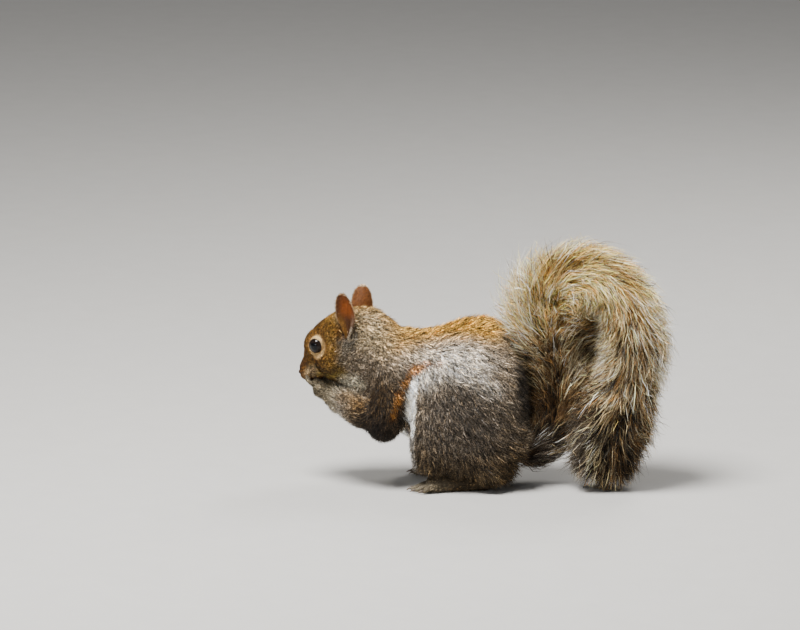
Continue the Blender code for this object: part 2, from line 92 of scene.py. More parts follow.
# Tail: x, y, z along its middle, then its reach outward and inward in the plane of the arch,
# and its half width.
TAIL_SECTIONS = (
    (0.0, 20.0, 25.0, 20.0, 19.0, 21.0),
    (-2.0, 39.0, 32.0, 21.0, 21.0, 24.0),
    (-5.0, 54.5, 58.0, 20.5, 21.5, 26.5),
    (-6.0, 53.0, 90.0, 24.5, 24.0, 29.0),
    (-5.0, 50.0, 119.0, 32.5, 26.5, 32.0),
    (-2.0, 54.0, 142.0, 34.5, 23.5, 33.0),
    (3.0, 67.0, 157.0, 30.0, 21.0, 33.0),
    (8.0, 84.0, 158.5, 26.5, 20.5, 33.0),
    (13.0, 98.5, 148.0, 27.5, 20.5, 32.0),
    (17.0, 107.0, 131.0, 29.5, 23.0, 32.0),
    (19.0, 110.0, 109.0, 31.0, 26.0, 31.0),
    (20.0, 106.5, 87.0, 29.5, 25.5, 30.0),
    (20.0, 100.0, 65.0, 27.0, 25.0, 29.0),
    (19.0, 93.5, 43.0, 25.5, 24.0, 27.0),
    (18.0, 89.0, 21.0, 23.5, 22.0, 25.0),
)
TAIL_CORE = (5.0, 2.6)  # radius of the tail's flesh at its root and at its tip

# The lie of the coat, for the left side: a place, the way the hair there points, its length.
LIE = (
    ((0, -92, 133), (0.0, 0.95, -0.1), 7.5),  # nape
    ((0, -64, 121), (0.0, 1.0, -0.02), 9.5),  # withers
    ((0, -42, 119), (0.0, 1.0, 0.05), 10.0),  # saddle
    ((0, -16, 127), (0.0, 1.0, -0.05), 10.5),  # loin
    ((0, 6, 128), (0.0, 0.9, -0.4), 10.5),  # rump
    ((0, 22, 105), (0.0, 0.6, -0.75), 10.0),
    ((24, -88, 108), (0.1, 0.8, -0.55), 7.5),  # side of the neck
    ((30, -66, 95), (0.1, 0.6, -0.75), 8.5),  # shoulder
    ((36, -74, 70), (0.0, 0.25, -0.95), 7.5),  # upper arm
    ((34, -79, 55), (-0.2, -0.3, -0.9), 6.5),  # elbow
    ((24, -97, 62), (-0.35, -0.85, 0.35), 4.8),  # forearm
    ((6, -113, 69), (-0.35, -0.85, 0.35), 3.0),  # wrist
    ((0, -100, 78), (0.0, 0.5, -0.85), 6.0),  # throat
    ((0, -84, 54), (0.0, 0.7, -0.7), 8.0),  # chest
    ((0, -50, 32), (0.0, 1.0, -0.2), 9.0),  # belly
    ((0, -10, 22), (0.0, 1.0, 0.0), 9.0),
    ((30, -50, 90), (0.1, 0.75, -0.65), 10.0),  # flank
    ((28, -58, 60), (0.0, 0.6, -0.8), 9.0),
    ((38, -20, 112), (0.2, 0.85, -0.45), 11.0),  # thigh, from the top down
    ((47, -12, 80), (0.1, 0.7, -0.7), 11.0),
    ((46, -35, 70), (0.0, 0.35, -0.93), 10.0),
    ((32, -55, 60), (0.1, 0.1, -1.0), 8.5),  # knee
    ((36, -52, 35), (0.1, 0.15, -1.0), 8.0),
    ((44, -30, 30), (0.1, 0.35, -0.93), 10.5),  # shin
    ((45, 5, 45), (0.1, 0.7, -0.7), 12.0),
    ((38, 22, 40), (0.05, 0.9, -0.4), 17.0),
    ((30, 28, 22), (0.05, 0.95, -0.25), 19.0),
    ((10, 30, 40), (0.0, 0.95, -0.3), 15.0),
    ((42, 0, 14), (0.1, 0.55, -0.8), 14.0),  # hock
    ((40, -35, 14), (0.15, 0.1, -0.95), 12.5),
    ((38, -45, 8), (0.1, -0.7, -0.5), 5.0),  # ankle
    ((20, 25, 70), (0.0, 0.7, -0.7), 11.0),
)


def world(places):
    return (np.asarray(places) + CENTRING) * MM


def body_mm(points):
    return points / MM - CENTRING


def head_mm(places):
    """Distance behind the nose tip, above the head's axis and to its left."""
    return (places - NOSE_TIP) @ HEAD_AXES.T


def head_place(behind, above, aside):
    return NOSE_TIP + np.array((behind, above, aside)) @ HEAD_AXES


def folded(places, axis=0):
    """The places with the right side mirrored onto the left, which axis measures."""
    left = np.array(places, float)
    left[..., axis] = np.abs(left[..., axis])
    return left


def from_nearer_eye(places):
    """Offsets from the middle of the eye on the same side, along the head's axes."""
    local = head_mm(places)
    sign = np.where(local[:, 2] > 0, 1.0, -1.0)[:, None]
    return local - EYE_PLACE * np.concatenate((np.ones((len(local), 2)), sign), 1)


def unit(vectors):
    return vectors / np.maximum(np.linalg.norm(vectors, axis=-1, keepdims=True), 1e-9)


def smoothstep(low, high, value):
    share = np.clip((value - low) / (high - low), 0.0, 1.0)
    return share * share * (3 - 2 * share)


def blob(places, centre, size, soft=0.35):
    """1 inside an ellipsoid of half axes size, falling to 0 across its soft edge."""
    distance = np.linalg.norm((places - np.array(centre)) / np.array(size), axis=-1)
    return 1 - smoothstep(1 - soft, 1 + soft, distance)


def capsule(places, start, end, radius, soft=0.5):
    """1 near a line from start to end, falling to 0 at about radius from it."""
    start, end = np.array(start, float), np.array(end, float)
    along = end - start
    share = np.clip((places - start) @ along / (along @ along), 0.0, 1.0)
    distance = np.linalg.norm(places - start - share[..., None] * along, axis=-1)
    return 1 - smoothstep(radius * (1 - soft), radius * (1 + soft), distance)


def ripple(places, wavelength, seed, channels=3):
    """Smooth seeded noise of about unit size, from waves of about one wavelength."""
    waves = np.random.default_rng(seed)
    out = np.zeros((len(places), channels))
    for _ in range(16):
        heading = unit(waves.normal(size=3)) * math.tau / wavelength * waves.uniform(0.5, 1.8)
        phase = waves.uniform(0, math.tau, channels)
        out += np.sin((places @ heading)[:, None] + phase) * 0.35
    return out


# ---------------------------------------------------------------- skin


def solid_arrays(names):
    """Corner places, in metres, and triangles of CAD nodes taken together."""
    points, triangles, count = [], [], 0
    for name in names:
        mesh = frame["nodes"][name].data
        mesh.calc_loop_triangles()
        places = np.empty(len(mesh.vertices) * 3, np.float32)
        mesh.vertices.foreach_get("co", places)
        corners = np.empty(len(mesh.loop_triangles) * 3, np.int32)
        mesh.loop_triangles.foreach_get("vertices", corners)
        points.append(places.reshape(-1, 3))
        triangles.append(corners.reshape(-1, 3) + count)
        count += len(mesh.vertices)
    return np.concatenate(points), np.concatenate(triangles).astype(np.uint32)


def blurred(values, times):
    for _ in range(times):
        for axis in range(3):
            padded = np.pad(values, [(1, 1) if a == axis else (0, 0) for a in range(3)], "edge")
            ahead = np.take(padded, range(2, padded.shape[axis]), axis)
            behind = np.take(padded, range(padded.shape[axis] - 2), axis)
            values = (ahead + behind) * 0.25 + values * 0.5
    return values


def grid_of(axes):
    return np.stack(np.meshgrid(*axes, indexing="ij"), -1).reshape(-1, 3)


def filled_in(values, shape, step):
    """Values known on every so many steps of a grid, filled in over its whole shape."""
    for axis, size in enumerate(shape):
        where = np.arange(size) / step
        start = where.astype(int)
        share_shape = [1, 1, 1]
        share_shape[axis] = size
        share = (where - start).reshape(share_shape)
        before = np.take(values, start, axis)
        after = np.take(values, start + 1, axis)
        values = before * (1 - share) + after * share
    return values


def coat_surface(names, depth, voxel, easing, added=None, seam=0.4 * MM, reach=8 * MM):
    """A surface inside the given solids by depth, a function of place that gives millimetres.

    The solids are first joined across their thin gaps. The distance that added gives, in
    millimetres, is that of small forms which are blended in afterwards.
    """
    points, triangles = solid_arrays(names)
    lattice = openvdb.createLinearTransform(voxelSize=voxel)
    make = openvdb.FloatGrid.createLevelSetFromPolygons
    rough = make(points, triangles=triangles, transform=lattice, halfWidth=3.0)
    points, quads = rough.convertToQuads(isovalue=seam)
    whole = make(points, quads=quads, transform=lattice, halfWidth=reach / voxel)
    low = np.floor(points.min(0) / voxel).astype(int) - 4
    high = np.ceil(points.max(0) / voxel).astype(int) + 4
    corner = tuple(int(i) for i in low)
    field = np.empty(high - low, np.float32)
    whole.copyToArray(field, ijk=corner)
    field = blurred(field + np.float32(seam), easing)
    # The coat's depth varies slowly, so it is worked out on every fourth step and filled in.
    step = 4
    axes = [np.arange(0, size + step, step) for size in field.shape]
    values = depth(body_mm((grid_of(axes) + low) * voxel)).reshape([len(a) for a in axes])
    field = field + filled_in(values, field.shape, step) * MM
    if added:
        cells = grid_of([np.arange(size) for size in field.shape])
        other = added(body_mm((cells + low) * voxel)).reshape(field.shape) * MM
        blend = 0.35 * MM
        field = -blend * np.logaddexp(-field / blend, -other / blend)
    inner = openvdb.FloatGrid(reach)
    inner.transform = lattice
    inner.copyFromArray(field.astype(np.float32), ijk=corner)
    points, quads = inner.convertToQuads(isovalue=0.0)
    return points.astype(float), quads.astype(int)


def lie_of_coat(places):
    """The way the hair points and its length, at places on the body."""
    rows = list(LIE)
    for (x, y, z), (dx, dy, dz), length in LIE:
        if x:
            rows.append(((-x, y, z), (-dx, dy, dz), length))
    spots = np.array([row[0] for row in rows], float)
    ways = unit(np.array([row[1] for row in rows], float))
    lengths = np.array([row[2] for row in rows], float)
    way = np.zeros((len(places), 3))
    length = np.zeros(len(places))
    total = np.zeros(len(places))
    for spot, heading, size in zip(spots, ways, lengths):
        weight = 1 / (((places - spot) ** 2).sum(1) + 9.0) ** 1.6
        way += weight[:, None] * heading
        length += weight * size
        total += weight
    return unit(way), length / total


def on_the_head(places, ahead=0.0):
    """1 on the head, 0 on the rest of the body; ahead moves the border toward the nose."""
    behind, above, aside = head_mm(places).T
    within = (1 - smoothstep(50, 60, behind + ahead)) * smoothstep(-42, -34, above - ahead)
    return within * (1 - smoothstep(19, 25, np.abs(aside) + ahead * 0.5))


def on_the_forearm(places):
    return capsule(folded(places), (26, -86, 57), (8, -110, 70), 9.5, 0.25)


def body_depth(places):
    _, length = lie_of_coat(places)
    near_floor = smoothstep(0.0, 6.0, places[:, 2])
    under_head = 5.0 * on_the_head(places, 8.0) * (1 - on_the_forearm(places))
    return length * 0.36 * (0.25 + 0.75 * near_floor) + under_head + 6.0 * ear_hollow(places)


def ear_hollow(places):
    """1 in front of each ear's root, where the head is hollowed for its opening."""
    return blob(folded(head_mm(places), 2), (57.0, -2.0, 18.5), (7, 6.5, 7), 0.5)


# Hair on the head: millimetres behind the nose tip, and its length there.
HEAD_HAIR = ((0, 1.1), (4, 1.7), (8, 2.2), (16, 2.7), (30, 3.6), (45, 4.8), (60, 6.4), (75, 7.5))


def head_hair_length(places):
    behind, above, _ = head_mm(places).T
    length = np.interp(behind, *zip(*HEAD_HAIR))
    return np.where(above < -8, length * 1.15, length)


def head_depth(places):
    under_body = 6.0 * (1 - on_the_head(places, -10.0))
    behind_nose = 1.6 * blob(head_mm(places), (0.0, -0.8, 0.0), (4.0, 4.5, 5.0), 0.4)
    sunk = 5.0 * ear_hollow(places) + behind_nose
    return head_hair_length(places) * 0.30 + under_body + sunk


# Middle and half axes, in head_mm and for the left side, of the whisker pad, the chin, the
# swelling round the eye and the cheek in front of it.
HEAD_FORMS = (
    ((7.4, -4.4, 4.0), (6.4, 4.6, 4.4)),
    ((13.0, -10.6, 0.0), (7.5, 3.6, 4.6)),
    ((31.5, 4.0, 7.2), (13.0, 11.5, 7.6)),
    ((19.5, -2.5, 5.2), (9.5, 7.0, 5.6)),
)


def head_forms(places):
    """Distance, in millimetres, to the surface of the nearest form of the head."""
    local = folded(head_mm(places), 2)
    nearest = np.full(len(places), FAR)
    for middle, size in HEAD_FORMS:
        outside = np.linalg.norm((local - middle) / np.array(size), axis=1) - 1
        nearest = np.minimum(nearest, np.clip(outside * min(size), -3.0, FAR))
    return nearest


def paw_depth(places):
    """The toes of the solid are sunk out of the way of the jointed ones."""
    return 0.35 + 0.35 * smoothstep(0.0, 4.0, places[:, 2]) + 6.0 * smoothstep(-42, -46, places[:, 1])


def toward_elbow(places):
    """0 over the hand, rising to 1 up the forearm."""
    return smoothstep(-119, -106, places[:, 1])


def arm_depth(places):
    """The fingers of the solid are sunk out of the way of the jointed ones."""
    sunk = 6.0 * smoothstep(-127.5, -130.5, places[:, 1])
    return 0.6 + sunk + 4.0 * smoothstep(-114, -102, places[:, 1])


# Fingers and toes: where they start, how they point and how far they reach. The toes are given
# for the left foot.
HAND_END = {"left": (-3.4, -127.5, 74.0), "right": (-17.2, -127.5, 74.0)}
FOOT_BALL = (30.0, -38.5, 6.0)
TOE_REACH = (9.0, 14.5, 17.0, 15.5, 10.5)
TOE_FAN = math.radians(36)
TOE_SPREAD = 12.5
# Each toe's joints: share of its reach, height over the floor, radius.
TOE_JOINTS = ((0.0, 5.4, 2.6), (0.5, 5.2, 2.0), (0.8, 3.4, 1.75), (1.0, 2.2, 1.45))


def fingers(side):
    """The joints of each finger, with its radius there: they curl up and in to the mouth."""
    lines = []
    for index in range(4):
        shift = index - 1.5
        inner = shift * SIDES[side]
        base = np.array(HAND_END[side]) + (shift * 2.5, 0.6 * abs(shift) + 2.2, 0.2)
        knuckle = base + (shift * 0.55, -5.8 + 0.5 * abs(shift), 1.9)
        middle = knuckle + (-0.35 * SIDES[side], -2.6, 1.9)
        tip = middle + (-0.5 * SIDES[side] - 0.15 * shift, -0.6, 3.1 + 0.2 * inner)
        lines.append(((base, 1.75), (knuckle, 1.35), (middle, 1.12), (tip, 0.82)))
    return lines


def toes(side):
    """The joints of each toe, with its radius there: each arches up and comes down at its end."""
    lines = []
    sign = SIDES[side]
    for index, reach in enumerate(TOE_REACH):
        share = 0.5 - index / (len(TOE_REACH) - 1)
        turn = share * TOE_FAN
        ahead = np.array((math.sin(turn), -math.cos(turn), 0.0))
        base = np.array(FOOT_BALL) + (share * TOE_SPREAD, 1.5, -0.6)
        joints = []
        for along, height, radius in TOE_JOINTS:
            place = base + ahead * reach * along
            place[2] = height
            joints.append((place * (sign, 1, 1), radius))
        lines.append(joints)
    return lines


def digit_distance(places, lines):
    """Distance, in millimetres, to the surface of jointed digits."""
    nearest = np.full(len(places), FAR)
    for joints in lines:
        for (start, wide), (end, narrow) in zip(joints, joints[1:]):
            along = end - start
            share = np.clip((places - start) @ along / (along @ along), 0.0, 1.0)
            distance = np.linalg.norm(places - start - share[:, None] * along, axis=1)
            nearest = np.minimum(nearest, distance - wide - (narrow - wide) * share)
    return nearest


# ---------------------------------------------------------------- meshes


def make_mesh(name, points, faces, colours=None, patches=None, material=None):
    """A piece from corner places in metres and lists of faces with the same corner count."""
    mesh = bpy.data.meshes.new(name)
    points = np.asarray(points, np.float32)
    mesh.vertices.add(len(points))
    mesh.vertices.foreach_set("co", points.ravel())
    corners = np.concatenate([np.asarray(group).ravel() for group in faces if len(group)])
    sizes = [np.full(len(group), np.shape(group)[1]) for group in faces if len(group)]
    totals = np.concatenate(sizes)
    mesh.loops.add(len(corners))
    mesh.loops.foreach_set("vertex_index", corners.astype(np.int32))
    mesh.polygons.add(len(totals))
    starts = np.concatenate(([0], np.cumsum(totals)[:-1]))
    mesh.polygons.foreach_set("loop_start", starts.astype(np.int32))
    mesh.polygons.foreach_set("use_smooth", np.ones(len(totals), bool))
    if colours is not None:
        layer = mesh.attributes.new("marking", "FLOAT_COLOR", "POINT")
        full = np.ones((len(points), 4), np.float32)
        full[:, : np.shape(colours)[1]] = colours
        layer.data.foreach_set("color", full.ravel())
    if patches is not None:
        layer = mesh.uv_layers.new(name="OFBake")
        layer.uv.foreach_set("vector", patches[corners].astype(np.float32).ravel())
    mesh.update(calc_edges=True)
    mesh.validate()
    made = bpy.data.objects.new(name, mesh)
    bpy.context.scene.collection.objects.link(made)
    if material:
        mesh.materials.append(material)
    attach(made, "root")
    return made


def grid_quads(rows, columns, first=0):
    row, column = np.meshgrid(np.arange(rows - 1), np.arange(columns - 1), indexing="ij")
    start = (row * columns + column).ravel() + first
    return np.stack((start, start + 1, start + columns + 1, start + columns), 1)


def ring_quads(rings, sides):
    """Faces between rings of so many corners each, closed round their sides and open at the ends."""
    ring, side = np.meshgrid(np.arange(rings - 1), np.arange(sides), indexing="ij")
    start = (ring * sides + side).ravel()
    after = (ring * sides + (side + 1) % sides).ravel()
    return np.stack((start, after, after + sides, start + sides), 1)


def ball_angles(rings, sides, gap):
    """The angle from the pole and the angle round it of a ball's corners, open by gap at its poles."""
    polar = np.linspace(gap, math.pi - gap, rings)
    return np.meshgrid(polar, np.arange(sides) / sides * math.tau, indexing="ij")


def outward_facing(points, quads):
    """Turns the faces of a closed surface so that their normals point out of it."""
    corners = points[quads]
    volume = (np.cross(corners[:, 1], corners[:, 2]) * corners[:, 0]).sum()
    volume += (np.cross(corners[:, 2], corners[:, 3]) * corners[:, 0]).sum()
    return points, quads if volume > 0 else quads[:, ::-1]


def corner_normals(points, quads):
    across = np.cross(
        points[quads[:, 2]] - points[quads[:, 0]], points[quads[:, 3]] - points[quads[:, 1]]
    )
    normals = np.zeros_like(points)
    for column in range(4):
        np.add.at(normals, quads[:, column], across)
    return unit(normals)


def scattered(points, quads, normals, count, density=None):
    """Evenly spread roots on a surface: places, normals, then the corners they lie between."""
    triangles = np.stack((quads[:, (0, 1, 2)], quads[:, (0, 2, 3)]), 1).reshape(-1, 3)
    a, b, c = (points[triangles[:, i]] for i in range(3))
    area = np.linalg.norm(np.cross(b - a, c - a), axis=1)
    if density is not None:
        area = area * density(body_mm((a + b + c) / 3))
    edges = np.cumsum(area)
    picks = (np.arange(count) + rng.random(count)) / count * edges[-1]
    face = np.minimum(np.searchsorted(edges, picks), len(triangles) - 1)
    u, v = rng.random(count), rng.random(count)
    flip = u + v > 1
    u[flip], v[flip] = 1 - u[flip], 1 - v[flip]
    shares = np.stack((1 - u - v, u, v), 1)
    corners = triangles[face]
    place = (points[corners] * shares[..., None]).sum(1)
    normal = unit((normals[corners] * shares[..., None]).sum(1))
    loops = face[:, None] // 2 * 4 + np.where(face[:, None] % 2, (0, 2, 3), (0, 1, 2))
    return place, normal, corners, loops, shares


# ---------------------------------------------------------------- markings


def tone(red, green, blue):
    """A linear colour from one given in steps of 0 to 255."""
    share = np.array((red, green, blue), float) / 255
    return np.where(share <= 0.04045, share / 12.92, ((share + 0.055) / 1.055) ** 2.4)


GRIZZLE = tone(134, 120, 102)
UNDERSIDE = tone(66, 53, 34)
OCHRE = tone(184, 140, 54)
NAPE = tone(154, 137, 108)
SHOULDER = tone(51, 36, 16)
THIGH = tone(74, 66, 57)
SILVER = tone(226, 219, 208)
WHITE = tone(252, 250, 244)
RUST = tone(166, 107, 38)
FOREARM = tone(103, 75, 32)
ELBOW = tone(24, 16, 9)
# Near black, for painted shadow in creases.
CREASE_SHADOW = tone(18, 14, 10)
GOLD = tone(131, 98, 45)
BROW = tone(106, 73, 25)
MUZZLE = tone(110, 70, 24)
CHEEK = tone(108, 88, 46)
PALE_CHEEK = tone(158, 134, 68)
WHISKER_PAD = tone(226, 196, 150)
EYE_RING = tone(204, 171, 117)
CREAM = tone(214, 206, 184)
DARK_GREY = tone(104, 96, 83)
PAW = tone(126, 115, 94)
EAR_INSIDE = tone(144, 74, 18)
# Dark brown, for the ear's darker tip and for painted shade in its cup and in the hollow before it.
EAR_DARK_AND_SHADE = tone(70, 40, 14)
EAR_BACK = tone(98, 56, 20)
EAR_RIM = tone(206, 176, 138)
NOSE = tone(66, 42, 30)
NOSTRIL = tone(24, 14, 10)
NOSE_GROOVE = tone(60, 34, 22)
PUPIL = tone(5, 6, 9)
IRIS = tone(24, 17, 14)
LID_EDGE = tone(30, 22, 18)
CLAW_ROOT = tone(58, 48, 40)
CLAW_TIP = tone(120, 104, 86)
WHISKER = tone(40, 32, 26)


def mixed(colour, other, share):
    return colour + (other - colour) * share[..., None]


def painted(count, ground, *layers):
    """The ground tone at so many places, with tones laid over it in turn, each by its share."""
    colour = np.tile(ground, (count, 1))
    for paint, share in layers:
        colour = mixed(colour, paint, share)
    return colour


def stripe(paint, places, line, widths, soft, strength=1.0):
    """The layers of a stripe along a line, which has its own half width on each stretch."""
    for start, end, width in zip(line, line[1:], widths):
        yield paint, capsule(places, start, end, width, soft) * strength


# Soft patches on the left side of the body: tone, middle, half axes, softness, strength.
BODY_PATCHES = (
    (NAPE, (14, -88, 118), (24, 20, 22), 0.6, 0.9),
    (SHOULDER, (32, -76, 66), (20, 20, 27), 0.6, 0.95),
    (SHOULDER, (27, -92, 52), (9, 11, 12), 0.7, 0.6),
    (THIGH, (42, -16, 57), (28, 36, 33), 0.6, 0.92),
    (SILVER, (33, -24, 102), (18, 24, 13), 0.95, 0.85),
    (SILVER, (33, -43, 88), (12, 8, 10), 0.8, 0.6),
)
# The white edge down the front of the thigh, and the rust stripe in front of it and above it.
WHITE_EDGE = ((31, -43, 88.5), (29, -51, 82.5), (28.8, -54.8, 73), (29, -54.5, 46), (30, -51, 14))
WHITE_WIDTHS = (2.6, 4.0, 4.6, 5.0)
RUST_STRIPE = (
    (36, -32, 98),
    (31, -40.5, 96.5),
    (27.5, -52, 91.5),
    (30, -60.5, 82),
    (32.3, -65.5, 70.5),
    (31.5, -70, 57),
)
RUST_WIDTHS = (2.6, 3.4, 3.6, 3.4, 3.6)


def body_marking(places):
    """The coat's own colour at places on the trunk and limbs, before its speckle."""
    left = folded(places)
    side, y, z = left.T
    back = smoothstep(84, 119, z + 0.10 * y) * (1 - smoothstep(18, 46, side))
    back = back * (1 - 0.85 * smoothstep(4, 18, y) * smoothstep(124, 114, z))
    patches = [
        (paint, blob(left, middle, size, soft) * strength)
        for paint, middle, size, soft, strength in BODY_PATCHES
    ]
    belly = smoothstep(22, 8, side) * smoothstep(62, 40, z - 0.2 * np.maximum(-y - 60, 0))
    fading = 0.15 + 0.84 * smoothstep(32, 58, z)
    return painted(
        len(places),
        UNDERSIDE,
        (GRIZZLE, smoothstep(15, 80, z)),
        (OCHRE, back * 0.9),
        *patches,
        (SILVER, capsule(left, (38, -22, 96), (42, 6, 80), 7.0, 0.8) * 0.26),
        (WHITE, belly * smoothstep(8, -8, y)),
        (CREAM, blob(left, (0, -102, 79), (18, 14, 8.5), 0.5)),
        (FOREARM, capsule(left, (21, -96, 64), (12, -104, 69), 6.5, 0.9) * 0.9),
        (ELBOW, blob(left, (27, -80, 45), (18, 18, 17), 0.6) * 0.9),
        # Painted shadow in the groove between the white edge and the rust stripe.
        (CREASE_SHADOW, capsule(left, (30.5, -60.5, 76), (28, -61, 50), 2.2, 0.6) * 0.7),
        # Painted shadow in the crease between the thigh and the tail.
        (CREASE_SHADOW, blob(left, (22, 30, 76), (26, 9, 28), 0.5) * 0.9),
        *stripe(WHITE, left, WHITE_EDGE, WHITE_WIDTHS, 0.35, fading),
        *stripe(RUST, left, RUST_STRIPE, RUST_WIDTHS, 0.7, 0.85),
        (PAW, smoothstep(14, 4, z) * smoothstep(-20, -45, y)),
    )


def arm_marking(places):
    return painted(len(places), PAW, (body_marking(places), toward_elbow(places)))


CHEEK_STREAK = ((14, -11, 8), (20, -18, 9), (33, -27, 13))
DIAGONAL = 0.707  # cosine of the 45 degrees between the head's axis and the level


def head_marking(places):
    """The coat's own colour at places on the head, before its speckle."""
    left = folded(head_mm(places), 2)
    behind, above, aside = left.T
    from_eye = left - EYE_PLACE
    level = (from_eye[:, 0] - from_eye[:, 1]) * DIAGONAL
    down = -(from_eye[:, 0] + from_eye[:, 1]) * DIAGONAL
    # The golden face gives way to grey behind a ragged border.
    cheek_edge = level - 16.5 - 0.28 * np.clip(down, 0, 30)
    cheek_edge = cheek_edge + 2.0 * ripple(places, 7.0, 21, 1)[:, 0]
    below_ear = capsule(left, (60, -9, 16), (51, -13, 17), 6.5, 0.5)
    toward_cheek = capsule(left, (50, -13, 17), (38, -16, 17), 4.0, 0.7)
    ring = np.linalg.norm(((level - 0.8) / 7.1, (down - 0.9) / 9.4), axis=0)
    beside = smoothstep(5, 9, aside)
    return painted(
        len(places),
        GOLD,
        (BROW, smoothstep(4, 10, above) * smoothstep(54, 44, behind) * 0.8),
        (MUZZLE, smoothstep(24, 10, behind)),
        (MUZZLE * 0.55, blob(left, (3.0, -5.0, 0.0), (4.5, 4.0, 6.0), 0.6) * 0.8),
        (CHEEK, capsule(left, (15, -8, 8), (37, -24, 15), 7.5, 0.6) * 0.85),
        *stripe(PALE_CHEEK, left, CHEEK_STREAK, (3.4, 3.4), 0.6, 0.75),
        (WHISKER_PAD, blob(left, (11.5, -6.2, 8.0), (5.8, 3.6, 5.4), 0.8) * 0.85),
        (GRIZZLE, smoothstep(-4, 9, cheek_edge) * smoothstep(-12, -4, down) * 0.9),
        (OCHRE, smoothstep(44, 56, behind) * smoothstep(0, 10, above) * 0.25),
        (BROW, blob(left, (51, 5, 14), (6, 6, 8), 0.6) * 0.6),
        (NAPE, smoothstep(52, 64, behind)),
        (DARK_GREY, np.maximum(below_ear, toward_cheek * 0.7) * 0.95),
        (GRIZZLE, smoothstep(-22, -27, above) * smoothstep(30, 42, behind)),
        (CREAM, smoothstep(-29, -33, above) * smoothstep(44, 34, behind)),
        (CREAM, blob(left, (26, -30.5, 8), (10, 5.4, 8.5), 0.8) * 0.97),
        (MUZZLE, (1 - smoothstep(1.15, 1.6, ring)) * 0.4 * beside),
        (EYE_RING, (1 - smoothstep(0.88, 1.06, ring)) * beside),
        # Painted shade in the hollow before each ear's opening.
        (EAR_DARK_AND_SHADE, ear_hollow(places) * 0.8),
    )


# ---------------------------------------------------------------- locks of hair


PATCH_SIZE = 0.003  # each lock's own patch on the unwrap of the skin
HAIR_RINGS = 2
HAIR_TAPER = np.array((0.8, 0.85))  # share of a lock's width at each of its rings
TAIL_RINGS = 4


def ribbons(lines, across, widths, colours, patch):
    """Tapered locks as flat strips that end in a point.

    lines is (locks, rings + 1, 3), across is the direction of each lock's width, widths is
    (locks, rings) and colours is (locks, rings + 1, 4); patch is each root's place on the unwrap.
    """
    count, rings = len(lines), lines.shape[1] - 1
    half = across[:, None, :] * widths[..., None] / 2
    points = np.empty((count, 2 * rings + 1, 3), np.float32)
    points[:, 0:-1:2] = lines[:, :-1] - half
    points[:, 1:-1:2] = lines[:, :-1] + half
    points[:, -1] = lines[:, -1]
    shades = np.empty((count, 2 * rings + 1, colours.shape[-1]), np.float32)
    shades[:, 0:-1:2] = colours[:, :-1]
    shades[:, 1:-1:2] = colours[:, :-1]
    shades[:, -1] = colours[:, -1]
    spots = np.empty((count, 2 * rings + 1, 2), np.float32)
    for ring in range(rings):
        rise = PATCH_SIZE * (ring / rings - 0.5)
        spots[:, 2 * ring] = patch + (-PATCH_SIZE / 2, rise)
        spots[:, 2 * ring + 1] = patch + (PATCH_SIZE / 2, rise)
    spots[:, -1] = patch + (0.0, PATCH_SIZE / 2)
    return points, shades, spots


def ribbon_faces(count, rings, first):
    base = first + np.arange(count)[:, None] * (2 * rings + 1)
    steps = np.arange(rings - 1) * 2
    starts = (base + steps[None, :]).ravel()
    quads = np.stack((starts, starts + 1, starts + 3, starts + 2), 1)
    last = base[:, 0] + 2 * (rings - 1)
    tips = np.stack((last, last + 1, last + 2), 1)
    return quads, tips


def tufts(places, size, seed):
    """The tuft that each root belongs to: the tuft's middle and its own random numbers."""
    own = np.random.default_rng(seed)
    jitter = own.normal(0, 0.2 * size, places.shape)
    cell = np.round((places + ripple(places, 4 * size, seed) * size * 0.4 + jitter) / size)
    key = cell.astype(int) @ np.array((1, 4001, 16008001))
    _, member, count = np.unique(key, return_inverse=True, return_counts=True)
    middle = np.stack([np.bincount(member, places[:, axis]) for axis in range(3)], -1)
    return (middle / count[:, None])[member], own.random((len(count), 3))[member]


def hair_on(place, normal, way, length, width, lift, bend, sway, middle, lot):
    """Middle lines, width directions and widths, in metres, of locks that grow from a surface.

    lift is the angle off the skin at the root, of which bend is taken back toward the tip, and
    sway is how far headings differ. The locks of one tuft, whose middle and numbers are given,
    lean the same way and draw together toward their ends.
    """
    count = len(place)
    way = unit(way - normal * (way * normal).sum(1, keepdims=True))
    side = np.cross(normal, way)
    spread = (lot[:, :2] - 0.5) * 3.4 * (sway, sway * 0.6) + rng.normal(0, sway * 0.5, (count, 2))
    lift = lift + spread[:, 1] * 0.6
    heading = unit(way + side * spread[:, :1])
    pull = world(middle) - place
    pull = pull - heading * (pull * heading).sum(1, keepdims=True)
    pull = pull * rng.uniform(0.2, 0.55, count)[:, None]
    lines = np.empty((count, HAIR_RINGS + 1, 3))
    lines[:, 0] = place - normal * 0.3 * MM
    for ring in range(HAIR_RINGS):
        share = (ring + 0.5) / HAIR_RINGS
        angle = np.maximum(lift - bend * share, 0.03)
        step = heading * np.cos(angle)[:, None] + normal * np.sin(angle)[:, None]
        step = step * (length / HAIR_RINGS * MM)[:, None]
        lines[:, ring + 1] = lines[:, ring] + step + pull / HAIR_RINGS
        heading = unit(heading + side * rng.normal(0, 0.14, (count, 1)))
    lines[..., 2] = np.maximum(lines[..., 2], 0.15 * MM)
    roll = rng.normal(0, 0.55, count)[:, None]
    across = unit(np.cross(heading, normal)) * np.cos(roll) + normal * np.sin(roll)
    return lines, across, width[:, None] * HAIR_TAPER * MM


